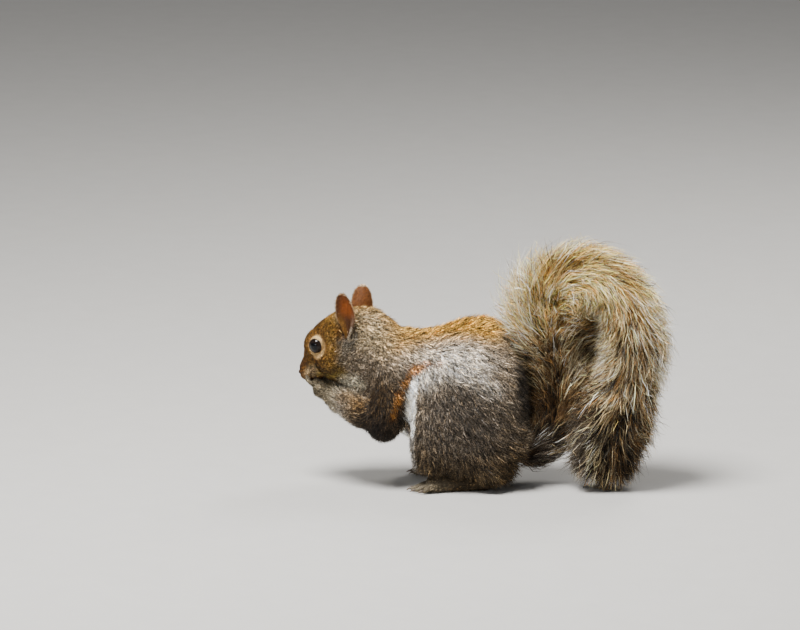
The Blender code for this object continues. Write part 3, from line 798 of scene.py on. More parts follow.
def speckle(base, root, dark_share, contrast, lot):
    """Colours along each lock: a dark undercoat, then agouti bands that keep the marking's mean.

    root is the brightness at the root, dark_share the share of dark bands, contrast their
    brightness and lot each tuft's own number. White hair keeps weak bands and a pale root.
    """
    count = len(base)
    white = smoothstep(0.55, 0.80, base.mean(1))[:, None]
    contrast = contrast + (0.93 - contrast) * white
    root = root + (0.88 - root) * white
    dark = rng.random((count, HAIR_RINGS + 1)) < dark_share
    light = (1 - dark_share * contrast) / (1 - dark_share)
    band = np.where(dark, contrast, light) * np.exp(rng.normal(-0.02, 0.2, dark.shape))
    spread = 1 - 0.6 * white[:, 0]
    strength = np.exp(((lot - 0.5) * 1.6 + rng.normal(0, 0.42, count)) * spread - 0.19 * spread**2)
    warmth = rng.normal(0, 1, (count, 1, 1)) * np.array((0.05, 0.0, -0.09))
    stops = np.linspace(0, 1, HAIR_RINGS + 1)[None, :]
    along = band * strength[:, None] * (root + (1 - root) * smoothstep(0.0, 0.45, stops))
    return base[:, None, :] * along[..., None] * (1 + warmth)


# ---------------------------------------------------------------- tail


def smooth_rows(rows, per_span):
    """Rows read from a smooth curve through the given rows."""
    rows = np.array(rows, dtype=float)
    padded = np.vstack([2 * rows[0] - rows[1], rows, 2 * rows[-1] - rows[-2]])
    out = []
    for before, start, end, after in zip(padded, padded[1:], padded[2:], padded[3:]):
        for t in np.arange(per_span) / per_span:
            bend = (end - before) * t
            bend += (2 * before - 5 * start + 4 * end - after) * t**2
            bend += (3 * start - before - 3 * end + after) * t**3
            out.append(start + bend / 2)
    out.append(rows[-1])
    return np.array(out)


TAIL = smooth_rows(TAIL_SECTIONS, 12)
TAIL_TANGENT = unit(np.gradient(TAIL[:, :3], axis=0))
TAIL_RUN = np.concatenate(
    ([0.0], np.cumsum(np.linalg.norm(np.diff(TAIL[:, :3], axis=0), axis=1)))
)
TAIL_LENGTH = TAIL_RUN[-1]


def along_tail(rows, run):
    return np.stack([np.interp(run, TAIL_RUN, rows[:, i]) for i in range(rows.shape[1])], -1)


def tail_place(run, angle, share):
    """A place in the tail: millimetres along it, the angle round it, share of the way out."""
    row = along_tail(TAIL, run)
    tangent = unit(along_tail(TAIL_TANGENT, run))
    sideways = np.zeros_like(tangent)
    sideways[..., 0] = 1.0
    across = unit(sideways - tangent * tangent[..., :1])
    outward = np.cross(across, tangent)
    rise = np.sin(angle)
    reach = np.where(rise > 0, row[..., 3], row[..., 4]) * rise
    beyond = np.maximum(run - TAIL_LENGTH, 0.0)
    narrowing = np.sqrt(np.clip(1 - (beyond / 24.0) ** 4, 0.02, 1.0))
    offset = across * (row[..., 5] * np.cos(angle))[..., None] + outward * reach[..., None]
    return row[..., :3] + tangent * beyond[..., None] + offset * (share * narrowing)[..., None]


def tail_core(rings=110, sides=14):
    runs = np.linspace(-4.0, TAIL_LENGTH + 6.0, rings + 1)
    angles = np.arange(sides) / sides * math.tau
    run, angle = np.meshgrid(runs, angles, indexing="ij")
    radius = np.interp(run, (0, TAIL_LENGTH), TAIL_CORE)
    radius = radius * np.sqrt(np.clip((TAIL_LENGTH + 7.0 - run) / 12.0, 0.05, 1.0))
    reach = np.linalg.norm(tail_place(run, angle, 1.0) - tail_place(run, angle, 0.0), axis=-1)
    points = tail_place(run, angle, radius / reach).reshape(-1, 3)
    return world(points), ring_quads(rings + 1, sides), (runs, sides)


TAIL_CELL = 3.0  # length along the tail of one tuft's cell
TAIL_CELLS_ROUND = 38


def tail_fill(run, angle):
    """How much further out than the tail's usual outline locks that end here reach, as a share."""
    middle = along_tail(TAIL, np.clip(run, 0, TAIL_LENGTH))
    height = middle[:, 2]
    rising = smoothstep(80, 66, middle[:, 1]) * smoothstep(160, 148, height)
    rise, aside = np.sin(angle), np.cos(angle)
    # The rising half reaches back behind the hanging one, less so at the hollow under the bend.
    hollow = smoothstep(90, 100, height) * smoothstep(0.0, 0.5, aside)
    inner = rising * (0.60 - 0.50 * hollow) * smoothstep(30, 62, height)
    inner = inner + 0.40 * (1 - rising) * smoothstep(140, 152, height)
    inner = inner + 0.12 * (1 - rising) * smoothstep(90, 75, height)
    outer = rising * (0.24 + 0.21 * smoothstep(90, 70, height) * smoothstep(28, 50, height))
    fill = inner * smoothstep(-0.1, -0.7, rise) + outer * smoothstep(0.2, 0.8, rise)
    return fill + 0.30 * (1 - rising) * smoothstep(80, 50, height) * smoothstep(0.1, 0.8, np.abs(rise))


def tail_lock_ends(run, angle):
    """Where the locks that start at a run and an angle end, and their tufts' own numbers."""
    count = len(run)
    # Locks of one cell end close together.
    cell_run = np.round(run / TAIL_CELL)
    cell_angle = np.round(angle / math.tau * TAIL_CELLS_ROUND) % TAIL_CELLS_ROUND
    cell = (cell_run * 97 + cell_angle * 13).astype(int)
    table = np.random.default_rng(3).random((4096, 6))
    lot = table[(cell * 2654435761) % 4096]
    gather = rng.uniform(0.2, 0.75, count)
    beside = smoothstep(0.5, 0.95, np.abs(np.cos(angle)))
    advance = 6.0 + 16.0 * lot[:, 0] + 9.0 * beside + rng.normal(0, 4.0, count)
    end_run = (run * (1 - gather) + (cell_run * TAIL_CELL) * gather) + advance
    end_angle = angle * (1 - gather) + (cell_angle / TAIL_CELLS_ROUND * math.tau) * gather
    wrapped = np.abs(end_angle - angle) > math.pi
    end_angle = np.where(wrapped, angle, end_angle) + (lot[:, 1] - 0.5) * 0.8
    # The hair parts along the tail's sides and sweeps outward and inward from there.
    end_angle = end_angle + rng.normal(0, 0.14, count) + 0.40 * lot[:, 5] * np.sin(2 * angle)
    full = rng.random(count)
    end_share = np.select(
        (full < 0.72, full < 0.95),
        (0.80 + 0.26 * lot[:, 2], rng.uniform(0.4, 0.85, count)),
        rng.uniform(1.05, 1.22, count),
    )
    end_share = end_share + rng.normal(0, 0.06, count)
    end_share = end_share * (1 + tail_fill(end_run, end_angle)) * (1 - 0.10 * beside)
    end_share = end_share * (1 - 0.12 * smoothstep(TAIL_LENGTH - 22, TAIL_LENGTH + 16, end_run))
    return end_run, end_angle, end_share, lot


def core_patch(run, angle, core_uv, runs, sides):
    """The place on the unwrap of the tail's core under each root."""
    column = (run - runs[0]) / (runs[1] - runs[0])
    turn = angle / math.tau * sides
    ring = column.astype(int)
    side = turn.astype(int) % sides
    corner = core_uv[ring * sides + side]
    round_share = (turn - np.floor(turn))[:, None]
    near = corner[:, 0] * (1 - round_share) + corner[:, 1] * round_share
    far = corner[:, 3] * (1 - round_share) + corner[:, 2] * round_share
    run_share = (column - ring)[:, None]
    return near * (1 - run_share) + far * run_share


def tail_locks(count, core_uv, runs, sides):
    """Long wavy locks that lean toward the tail's tip, gathered a few together at their ends."""
    run = rng.uniform(2.0, TAIL_LENGTH - 1.0, count)
    angle = rng.uniform(0, math.tau, count)
    end_run, end_angle, end_share, lot = tail_lock_ends(run, angle)
    radius = np.interp(run, (0, TAIL_LENGTH), TAIL_CORE)
    reach = np.linalg.norm(tail_place(run, angle, 1.0) - tail_place(run, angle, 0.0), axis=-1)
    start_share = radius / reach
    steps = np.linspace(0, 1, TAIL_RINGS + 1)
    lines = np.empty((count, TAIL_RINGS + 1, 3))
    phase = (lot[:, 3] + rng.normal(0, 0.05, count)) * math.tau
    waves = 0.7 + 0.9 * lot[:, 4] + rng.normal(0, 0.06, count)
    wave = 1.2 + 2.6 * lot[:, 5] + rng.random(count) * 1.2
    for ring, t in enumerate(steps):
        here_run = run + (end_run - run) * t**1.3
        here_angle = angle + (end_angle - angle) * t
        here_share = start_share + (end_share - start_share) * (1 - (1 - t) ** 1.25)
        here_angle = here_angle + np.sin(math.tau * waves * t + phase) * wave * t / reach
        here_run = here_run + np.cos(math.tau * waves * t + phase * 1.7) * wave * t
        lines[:, ring] = tail_place(here_run, here_angle, here_share)
    lines = world(lines)
    lines[..., 2] = np.maximum(lines[..., 2], 0.4 * MM)
    heading = unit(lines[:, -1] - lines[:, 0])
    across = unit(np.cross(heading, unit(rng.normal(size=(count, 3)))))
    taper = np.interp(steps[:-1], (0, 0.15, 0.5, 1.0), (0.6, 0.9, 1.0, 0.3))
    guard = rng.random(count) < 0.2
    width = np.where(guard, rng.uniform(0.50, 0.80, count), rng.uniform(0.22, 0.48, count))
    colours = tail_colours(lines, np.minimum(end_share, 1.0), steps, lot)
    patch = core_patch(run, angle, core_uv, runs, sides)
    return ribbons(lines, across, width[:, None] * taper * MM, grained(colours, 0.5), patch)


TAIL_TAN = tone(158, 116, 64)
TAIL_GOLD = tone(230, 180, 108)
TAIL_UNDER = tone(84, 59, 32)
TAIL_BLACK = tone(28, 20, 12)
TAIL_PALE = tone(246, 219, 168)
TAIL_WHITE = tone(251, 233, 196)


def tail_shade(places, outline, flank):
    """How bright the tail is at places along locks that end on its outline or its flank, mostly painted
    light and shade.
    """
    x, y, z = np.moveaxis(places, -1, 0)
    side_view = np.stack((y, z), -1)
    hanging = smoothstep(72, 88, y)
    rump = (1 - hanging) * smoothstep(58, 42, z)
    # Painted shade on the rising half low down; the rump's fluff made lighter.
    shade = 1 - 0.18 * (1 - hanging) * smoothstep(104, 70, z) + 0.70 * rump
    # Lighter on the outline; painted shade on the hanging half low down.
    shade = shade * (1 + 0.35 * outline[:, None]) * (1 - 0.70 * hanging * smoothstep(74, 26, z))
    # Painted light toward the top of the arch.
    shade = shade * (1 + 0.42 * smoothstep(104, 130, z))
    shade = shade * (1 - 0.38 * flank[:, None])
    # Painted shade on the rising half toward the hollow under the bend.
    shade = shade * (1 - 0.35 * capsule(side_view, (50, 84), (54, 108), 9.0, 0.7))
    # Painted light on the top of the bend.
    shade = shade * (1 + 0.4 * blob(side_view, (72, 152), (24, 15), 0.7))
    # Painted shade in the hollow under the bend.
    under_bend = np.linalg.norm(((y - 73) / 14, (z - 112) / 18), axis=0)
    inside = smoothstep(22, 8, x) * smoothstep(-16, -4, x)
    shade = shade * (1 - 0.6 * (1 - smoothstep(0.7, 1.3, under_bend)) * inside)
    # Painted shadow in the crease where the thigh meets the tail.
    crease_shadow = smoothstep(41, 32, y) * smoothstep(46, 58, z) * smoothstep(110, 96, z)
    return shade * (1 - 0.85 * crease_shadow)


def tail_colours(lines, reach, steps, lot):
    """Dark, tan or pale strands with brown roots, their mix set by where they end, most frosted."""
    count = len(lines)
    _, y, z = body_mm(lines[:, -1]).T
    hanging = smoothstep(72, 88, y)
    low_rise = (1 - hanging) * smoothstep(104, 70, z)
    low_hang = hanging * smoothstep(84, 40, z)
    outline = np.maximum(smoothstep(46, 26, y) * smoothstep(90, 110, z), smoothstep(118, 134, y))
    silvery = smoothstep(100, 84, y) * smoothstep(66, 76, y) * smoothstep(130, 110, z)
    flank = hanging * blob(np.stack((y, z), 1), (102, 88), (12, 50), 0.5)
    top = smoothstep(124, 146, z)
    dark_share = 0.36 + 0.16 * low_rise + 0.28 * low_hang + 0.12 * flank - 0.08 * outline - 0.02 * top
    pale_share = 0.22 + 0.18 * outline + 0.18 * silvery - 0.20 * low_rise - 0.18 * low_hang - 0.08 * top
    # Locks of a tuft that stands out are pale, and those in the gaps between tufts are dark.
    pick = rng.random(count) * 0.5 + lot[:, 2] * 0.5
    pick = np.argsort(np.argsort(pick)) / count
    tan = TAIL_TAN + (TAIL_GOLD - TAIL_TAN) * smoothstep(120, 148, z)[:, None]
    greying = 0.4 * low_rise + 0.6 * low_rise * smoothstep(64, 48, z)
    strand = np.where((pick > 1 - pale_share)[:, None], TAIL_PALE, tan + (THIGH - tan) * greying[:, None])
    strand = np.where((pick < dark_share)[:, None], TAIL_BLACK, strand)
    shift = rng.normal(0, 0.06, count)[:, None]
    where = np.clip(steps[None, :] * reach[:, None] + shift, 0, 1)
    colour = TAIL_UNDER + (strand[:, None] - TAIL_UNDER) * smoothstep(0.12, 0.36, where)[..., None]
    band = smoothstep(0.58, 0.66, where) * (1 - smoothstep(0.76, 0.84, where))
    band = band * (rng.uniform(0.0, 0.8, count) * (pick < 1 - pale_share))[:, None]
    colour = mixed(colour, TAIL_BLACK, band)
    frost = smoothstep(0.78, 0.92, where) * rng.uniform(0.1, 0.9, count)[:, None]
    frosting = 1 + 0.3 * outline - 0.9 * low_rise - 0.6 * low_hang - 0.3 * flank - 0.4 * top
    colour = mixed(colour, TAIL_WHITE, np.clip(frost * frosting[:, None], 0, 1))
    places = body_mm(lines)
    strength = np.exp((lot[:, 5] - 0.5) * 1.4 + rng.normal(-0.08, 0.50, count))[:, None]
    bands = np.where(rng.random(where.shape) < 0.3, 0.42, 1.25)
    warmth = rng.normal(0, 1, (count, 1, 1)) * np.array((0.05, 0.0, -0.08))
    warmth = warmth + smoothstep(100, 128, places[..., 2:]) * np.array((0.09, 0.0, -0.16))
    brightness = strength * bands * tail_shade(places, outline, flank)
    return np.minimum(colour * brightness[..., None] * (1 + warmth), 0.95)


# ---------------------------------------------------------------- ears, lids, nose


def ear_surface(side):
    """A thin cupped ear with a rolled rim: its points, faces and traits.

    The traits say how far up each point is, how near the rim, whether it is inside the cup, and
    how far toward the rear edge.
    """
    root, tip = np.array(EAR_ROOT[side]), np.array(EAR_TIP[side])
    upward = unit(tip - root)
    turn = EAR_TURN[side]
    level = np.array((-math.sin(HEAD_YAW), -math.cos(HEAD_YAW), 0.0))
    cos, sin = math.cos(turn), math.sin(turn)
    opening = np.array((level[0] * cos - level[1] * sin, level[0] * sin + level[1] * cos, 0.0))
    opening = unit(opening - upward * (opening @ upward))
    across = np.cross(upward, opening)
    height = np.linalg.norm(tip - root)
    columns, rows = 23, 37
    share = np.sin(np.linspace(-1, 1, columns) * math.pi / 2)
    rise = -0.22 + 1.2 * np.linspace(0, 1, rows) ** 0.93
    rise, share = np.meshgrid(rise, share, indexing="ij")
    up = np.clip(rise, 0.0, 0.98)
    half = EAR_WIDTH / 2 * (0.22 + 0.78 * smoothstep(-0.05, 0.52, rise)) * np.sqrt(1.0 - up**4)
    tuck = 7.0 * smoothstep(-0.04, -0.22, rise)
    depth = EAR_CUP_DEPTH * (1 - share**2) * (0.65 + 0.9 * up - 1.2 * up**2)
    fold = 0.9 * np.exp(-(((share - 0.45) / 0.16) ** 2)) * smoothstep(0.75, 0.2, up)
    middle = (
        root
        + upward * (height * rise)[..., None]
        + across * (half * share)[..., None]
        - opening * (depth - 4.0 * up**2 + tuck)[..., None]
    )
    edge = np.maximum(np.abs(share), smoothstep(0.9, 0.98, up))
    wall = 0.5 - 0.28 * smoothstep(0.8, 1.0, edge) + 0.25 * smoothstep(0.3, 0.0, up)
    front = middle + opening * (wall + fold)[..., None]
    back = middle - opening * wall[..., None]
    total = rows * columns
    points = np.concatenate((front.reshape(-1, 3), back.reshape(-1, 3)))
    rim = np.concatenate(
        (
            np.arange(rows) * columns,
            (rows - 1) * columns + np.arange(1, columns),
            np.arange(rows - 2, -1, -1) * columns + columns - 1,
        )
    )
    strip = np.stack((rim[1:], rim[:-1], rim[:-1] + total, rim[1:] + total), 1)
    quads = np.concatenate(
        (grid_quads(rows, columns), grid_quads(rows, columns, total)[:, ::-1], strip)
    )
    points, quads = outward_facing(world(points), quads)
    up, edge, rear = (np.tile(values.ravel(), 2) for values in (up, edge, share * SIDES[side]))
    inside = np.concatenate((np.ones(total), np.zeros(total)))
    return points, quads, (up, edge, inside, rear)


def ear_marking(up, edge, inside, rear):
    """The ear's own colour from its traits, before its speckle."""
    low = smoothstep(0.6, 0.32, up)
    cup = painted(
        len(up),
        EAR_INSIDE,
        # Painted shade low in the middle of the cup and over its front half; the tip darker.
        (EAR_DARK_AND_SHADE, low * smoothstep(0.8, 0.3, np.abs(rear + 0.05))),
        (EAR_DARK_AND_SHADE, smoothstep(-0.3, -0.85, rear) * 0.8),
        (EAR_DARK_AND_SHADE, smoothstep(0.66, 0.96, up) * 0.6),
        (BROW, low * smoothstep(-0.25, -0.7, rear) * 0.85),
        (DARK_GREY, low * smoothstep(0.25, 0.7, rear) * 0.85),
        (EAR_BACK, smoothstep(0.55, 0.9, rear) * 0.5),
    )
    return painted(
        len(up),
        NAPE,
        (EAR_BACK, smoothstep(0.0, 0.3, up)),
        (cup, inside),
        (EAR_RIM, smoothstep(0.93, 1.0, edge) * smoothstep(0.2, 0.6, up) * 0.8),
    )


def eye_axes(side):
    """The eye's middle and its directions outward, backward and upward, in the model."""
    sign = SIDES[side]
    middle = head_place(EYE_PLACE[0], EYE_PLACE[1], EYE_PLACE[2] * sign)
    outward = unit(np.array((-0.16, 0.10, 0.98 * sign)) @ HEAD_AXES)
    backward = unit(HEAD_BACK - outward * (HEAD_BACK @ outward))
    upward = unit(HEAD_UP - outward * (HEAD_UP @ outward))
    return middle, outward, backward, upward


LID_SIDES = 56
# Across a lid: degrees out from its opening, then the height over the eyeball. The first four
# are its dark edge.
LID_PROFILE = ((-2, -0.6), (0, 0.05), (2, 0.26), (4.5, 0.36), (7.5, 0.36), (12, 0.22), (17, 0.0))
# The rows of a lid that follow the skin: how far from the eye's axis, and how far sunk.
LID_ON_SKIN = ((7.0, 0.1), (8.4, 0.7))


def lid_surface(side, skin_tree):
    """Upper and lower lid: a dark wet edge on the eyeball that thickens and runs into the skin."""
    middle, outward, backward, upward = eye_axes(side)
    angle = np.arange(LID_SIDES) / LID_SIDES * math.tau
    cos, sin = np.cos(angle), np.sin(angle)
    corner = np.abs(cos) ** 14
    opening = np.radians(48 + 7 * sin**2 + 5 * corner)
    spokes = backward * cos[:, None] + upward * sin[:, None]
    rows = []
    colours = []
    for index, (turn, lift) in enumerate(LID_PROFILE):
        bend = opening + math.radians(turn)
        ray = outward * np.cos(bend)[:, None] + spokes * np.sin(bend)[:, None]
        rows.append(world(middle + ray * (EYE_RADIUS + lift)))
        colours.append(np.tile(LID_EDGE if index < 4 else EYE_RING * 0.8, (LID_SIDES, 1)))
    for radius, sink in LID_ON_SKIN:
        row = []
        for spoke in spokes:
            start = Vector(world(middle + spoke * radius + outward * 12))
            hit, normal, _, _ = skin_tree.ray_cast(start, Vector(-outward), 0.03)
            if hit is None:
                hit, normal, _, _ = skin_tree.find_nearest(Vector(world(middle + spoke * radius)))
            row.append(hit - normal * sink * MM)
        rows.append(np.array(row))
        colours.append(head_marking(body_mm(rows[-1])))
    points = np.concatenate(rows)
    quads = ring_quads(len(rows), LID_SIDES)
    normals = corner_normals(points, quads)
    if (normals @ outward).sum() < 0:
        quads = quads[:, ::-1]
    return points, quads, np.concatenate(colours)


def nose_surface():
    """The tip of the nose with its two comma-shaped nostrils and the groove between them."""
    rings, sides = 26, 44
    polar, angle = ball_angles(rings, sides, 0.02)
    ahead = -np.cos(polar)
    above = np.sin(polar) * np.sin(angle)
    aside = np.sin(polar) * np.cos(angle)
    dent = np.zeros_like(ahead)
    for sign in (1, -1):
        places = np.stack((ahead, above, aside * sign), -1)
        nostril = capsule(places, (-0.88, -0.08, 0.36), (-0.52, 0.30, 0.78), 0.24, 0.5)
        dent = np.maximum(dent, nostril)
    groove = np.exp(-((aside / 0.09) ** 2)) * smoothstep(0.15, -0.3, above) * (ahead < 0)
    size = 1 - 0.30 * dent - 0.12 * groove
    local = np.stack((2.4 + 2.3 * ahead * size, -1.0 + 2.6 * above * size, 3.2 * aside * size), -1)
    points = world(NOSE_TIP + local.reshape(-1, 3) @ HEAD_AXES)
    points, quads = outward_facing(points, ring_quads(rings, sides))
    dented = (NOSTRIL, dent.ravel())
    grooved = (NOSE_GROOVE, groove.ravel() * 0.7)
    return points, quads, painted(len(points), NOSE, dented, grooved)


def eyeball_surface(side):
    """A ball with a slight bulge in front, nearly black with a faint dark brown iris."""
    middle, outward, backward, upward = eye_axes(side)
    rings, sides = 40, 56
    polar, angle = ball_angles(rings, sides, 0.01)
    bulge = EYE_RADIUS * (1 + 0.03 * np.exp(-((polar / 0.5) ** 2)))
    local = (
        outward * np.cos(polar)[..., None]
        + backward * (np.sin(polar) * np.cos(angle))[..., None]
        + upward * (np.sin(polar) * np.sin(angle))[..., None]
    )
    points = world((middle + local * bulge[..., None]).reshape(-1, 3))
    points, quads = outward_facing(points, ring_quads(rings, sides))
    iris = smoothstep(0.42, 0.50, polar) * (1 - smoothstep(0.80, 0.95, polar))
    return points, quads, painted(len(points), PUPIL, (IRIS, iris.ravel()))


# ---------------------------------------------------------------- claws and whiskers


def tapered_tube(path, radii, sides):
    """Points and faces of a closed tube along a path in millimetres."""
    path = np.array(path, float)
    tangent = unit(np.gradient(path, axis=0))
    guide = np.array((0.31, 0.17, 0.93))
    across = unit(np.cross(tangent, guide))
    other = np.cross(tangent, across)
    angle = np.arange(sides) / sides * math.tau
    cos, sin = np.cos(angle)[None, :, None], np.sin(angle)[None, :, None]
    circle = across[:, None] * cos + other[:, None] * sin
    points = path[:, None] + circle * np.array(radii)[:, None, None]
    return points.reshape(-1, 3), ring_quads(len(path), sides)


def joined_tubes(tubes):
    points, quads, count = [], [], 0
    for places, faces in tubes:
        points.append(places)
        quads.append(faces + count)
        count += len(places)
    return world(np.concatenate(points)), np.concatenate(quads)


CLAW_RINGS = 9
CLAW_SIDES = 10


def claw(base, heading, length, radius):
    """A curved claw that sinks in at its root and hooks downward."""
    heading = unit(np.array(heading, float))
    steps = np.linspace(0, 1, CLAW_RINGS)
    drop = np.array((0.0, 0.0, -1.0))
    path = [base + heading * length * t + drop * length * 0.45 * t**2.2 for t in steps]
    radii = radius * np.sqrt(1 - steps**1.7 * 0.995)
    points, quads = tapered_tube(path, radii, CLAW_SIDES)
    points[:, 2] = np.maximum(points[:, 2], 0.15)
    return points, quads


def finger_claws(side):
    tubes = []
    for joints in fingers(side):
        (before, _), (tip, radius) = joints[-2:]
        way = unit(tip - before)
        tubes.append(claw(tip + way * 0.1, way + (0.0, -0.7, 0.1), 3.3, radius * 0.68))
    return joined_tubes(tubes)


def toe_claws(side):
    tubes = []
    for joints in toes(side):
        (before, _), (tip, radius) = joints[-2:]
        way = unit((tip - before) * (1, 1, 0))
        root = tip + way * 0.5 + (0.0, 0.0, 0.5)
        tubes.append(claw(root, way + (0.0, 0.0, 0.12), 4.6, radius * 0.55))
    return joined_tubes(tubes)


def whiskers():
    """Long fine bristles on the muzzle pads, and a few above each eye."""
    tubes = []
    for sign in (1.0, -1.0):
        for row in range(3):
            for step in range(4):
                root = head_place(6.5 + 2.1 * step, -4.4 - 1.6 * row, sign * (7.6 + 0.5 * step))
                way = np.array((0.35 + 0.22 * step, 0.10 - 0.22 * row, sign * 1.0)) @ HEAD_AXES
                length = 26.0 + 5.0 * step + rng.uniform(-3, 3)
                tubes.append(bristle(root, way, length, 0.16))
        for step in range(2):
            root = head_place(25.0 + 3 * step, 11.8 + step, sign * 9.4)
            way = np.array((0.6, 0.8, sign * 0.5)) @ HEAD_AXES
            tubes.append(bristle(root, way, 13.0 + 3 * step, 0.10))
    return joined_tubes(tubes)


def bristle(root, way, length, radius):
    steps = np.linspace(0, 1, 9)
    heading = unit(way)
    sag = np.array((0.0, 0.25, -0.35)) * length
    path = [root - heading * 1.5 + heading * length * t + sag * t**2.2 for t in steps]
    return tapered_tube(path, radius * (1 - 0.9 * steps), 5)


# ---------------------------------------------------------------- materials


def new_material(name, **values):
    """A material with values set on its shader's sockets, and its tree and shader."""
    made = bpy.data.materials.new(name)
    made.use_nodes = True
    shader = made.node_tree.nodes["Principled BSDF"]
    for socket, value in values.items():
        shader.inputs[socket.replace("_", " ")].default_value = value
    return made, made.node_tree, shader


def noise(tree, scale, detail=2.0):
    where = tree.nodes.new("ShaderNodeTexCoord")
    made = tree.nodes.new("ShaderNodeTexNoise")
    made.inputs["Scale"].default_value = scale
    made.inputs["Detail"].default_value = detail
    tree.links.new(where.outputs["Object"], made.inputs["Vector"])
    return made.outputs["Fac"]


def ranged_noise(tree, scale, low, high, spread=0.25):
    """Noise whose values within spread of its middle become values from low to high."""
    made = tree.nodes.new("ShaderNodeMapRange")
    made.inputs["From Min"].default_value = 0.5 - spread
    made.inputs["From Max"].default_value = 0.5 + spread
    made.inputs["To Min"].default_value = low
    made.inputs["To Max"].default_value = high
    tree.links.new(noise(tree, scale), made.inputs["Value"])
    return made.outputs["Result"]


def coloured_by_marking(tree, shader, **grain):
    """Takes the marking kept on the mesh, its brightness varied by noise as far as its alpha says."""
    marking = tree.nodes.new("ShaderNodeAttribute")
    marking.attribute_name = "marking"
    blend = tree.nodes.new("ShaderNodeMix")
    blend.inputs["A"].default_value = 1.0
    tree.links.new(marking.outputs["Alpha"], blend.inputs["Factor"])
    tree.links.new(ranged_noise(tree, **grain), blend.inputs["B"])
    product = tree.nodes.new("ShaderNodeVectorMath")
    product.operation = "SCALE"
    tree.links.new(marking.outputs["Color"], product.inputs[0])
    tree.links.new(blend.outputs["Result"], product.inputs["Scale"])
    tree.links.new(product.outputs["Vector"], shader.inputs["Base Color"])


def bumped(tree, shader, scale, distance, strength=1.0):
    bump = tree.nodes.new("ShaderNodeBump")
    bump.inputs["Strength"].default_value = strength
    bump.inputs["Distance"].default_value = distance
    tree.links.new(noise(tree, scale, detail=4.0), bump.inputs["Height"])
    tree.links.new(bump.outputs["Normal"], shader.inputs["Normal"])


def fur_material():
    made, tree, shader = new_material(
        "fur", Roughness=0.62, Specular_IOR_Level=0.2, Sheen_Weight=0.05, Sheen_Roughness=0.4
    )
    coloured_by_marking(tree, shader, scale=760.0, low=0.20, high=1.86, spread=0.12)
    return made


def skin_material():
    made, tree, shader = new_material("skin", Roughness=0.7, Specular_IOR_Level=0.3)
    coloured_by_marking(tree, shader, scale=1400.0, low=0.6, high=1.25)
    tree.links.new(ranged_noise(tree, scale=500.0, low=0.6, high=0.85), shader.inputs["Roughness"])
    bumped(tree, shader, scale=1600.0, distance=0.25 * MM)
    return made


def eye_material():
    made, tree, shader = new_material(
        "eye", Roughness=0.05, Specular_IOR_Level=0.12, Coat_Weight=0.15, Coat_Roughness=0.02
    )
    coloured_by_marking(tree, shader, scale=700.0, low=0.7, high=1.3)
    return made


def claw_material():
    made, tree, shader = new_material("claw", Roughness=0.35, Specular_IOR_Level=0.5)
    coloured_by_marking(tree, shader, scale=1800.0, low=0.75, high=1.25)
    tree.links.new(ranged_noise(tree, scale=900.0, low=0.28, high=0.5), shader.inputs["Roughness"])
    bumped(tree, shader, scale=2500.0, distance=0.04 * MM)
    return made


def floor_material():
    made, tree, shader = new_material("floor", Roughness=0.8, Specular_IOR_Level=0.2)
    ramp = tree.nodes.new("ShaderNodeMix")
    ramp.data_type = "RGBA"
    ramp.inputs["A"].default_value = (0.46, 0.455, 0.445, 1.0)
    ramp.inputs["B"].default_value = (0.50, 0.495, 0.485, 1.0)
    tree.links.new(noise(tree, scale=40.0, detail=6.0), ramp.inputs["Factor"])
    tree.links.new(ramp.outputs["Result"], shader.inputs["Base Color"])
    bumped(tree, shader, scale=300.0, distance=0.2 * MM, strength=0.3)
    return made


FUR, SKIN, EYE, CLAW = fur_material(), skin_material(), eye_material(), claw_material()

# ---------------------------------------------------------------- the skin, in one piece

LIMBS = ("thigh", "shin", "upper_arm", "forearm")
BODY_NODES = ("trunk", "neck", *(f"{limb}_{side}" for limb in LIMBS for side in SIDES), "head")
surfaces = {}
surfaces["body"] = coat_surface(BODY_NODES, body_depth, voxel=1.5 * MM, easing=2)
surfaces["head"] = coat_surface(
    ("head", "neck"), head_depth, voxel=0.85 * MM, easing=3, added=head_forms
)
for side in SIDES:
    arm, foot = ("hand_" + side, "forearm_" + side), ("foot_" + side,)
    near_fingers = functools.partial(digit_distance, lines=fingers(side))
    near_toes = functools.partial(digit_distance, lines=toes(side))
    surfaces["arm_" + side] = coat_surface(
        arm, arm_depth, voxel=0.5 * MM, easing=1, added=near_fingers
    )
    surfaces["foot_" + side] = coat_surface(
        foot, paw_depth, voxel=0.65 * MM, easing=1, added=near_toes
    )
core_points, core_quads, (core_runs, core_sides) = tail_core()
surfaces["tail"] = (core_points, core_quads)
markings = {}
ears = {}
for side in SIDES:
    *surfaces["ear_" + side], ears["ear_" + side] = ear_surface(side)
    markings["ear_" + side] = ear_marking(*ears["ear_" + side])
head_tree = BVHTree.FromPolygons(*(rows.tolist() for rows in surfaces["head"]))
for side in SIDES:
    *surfaces["lid_" + side], markings["lid_" + side] = lid_surface(side, head_tree)
*surfaces["nose"], markings["nose"] = nose_surface()
for name, (points, _) in surfaces.items():
    places = body_mm(points)
    if name == "head":
        markings[name] = head_marking(places) * 0.8
    elif name == "tail":
        markings[name] = np.tile(TAIL_BLACK, (len(points), 1))
    elif name.startswith("arm"):
        markings[name] = arm_marking(places) * 0.7
    elif name not in markings:
        markings[name] = body_marking(places) * 0.6

first_point, first_quad = {}, {}
counted, counted_quads = 0, 0
for name, (points, quads) in surfaces.items():
    first_point[name], first_quad[name] = counted, counted_quads
    counted += len(points)
    counted_quads += len(quads)
skin = make_mesh(
    "skin",
    np.concatenate([points for points, _ in surfaces.values()]),
    [np.concatenate([quads + first_point[name] for name, (_, quads) in surfaces.items()])],
    np.concatenate([markings[name] for name in surfaces]),
    material=SKIN,
)
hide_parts(*[name for name in frame["nodes"] if not name.startswith("eye")])


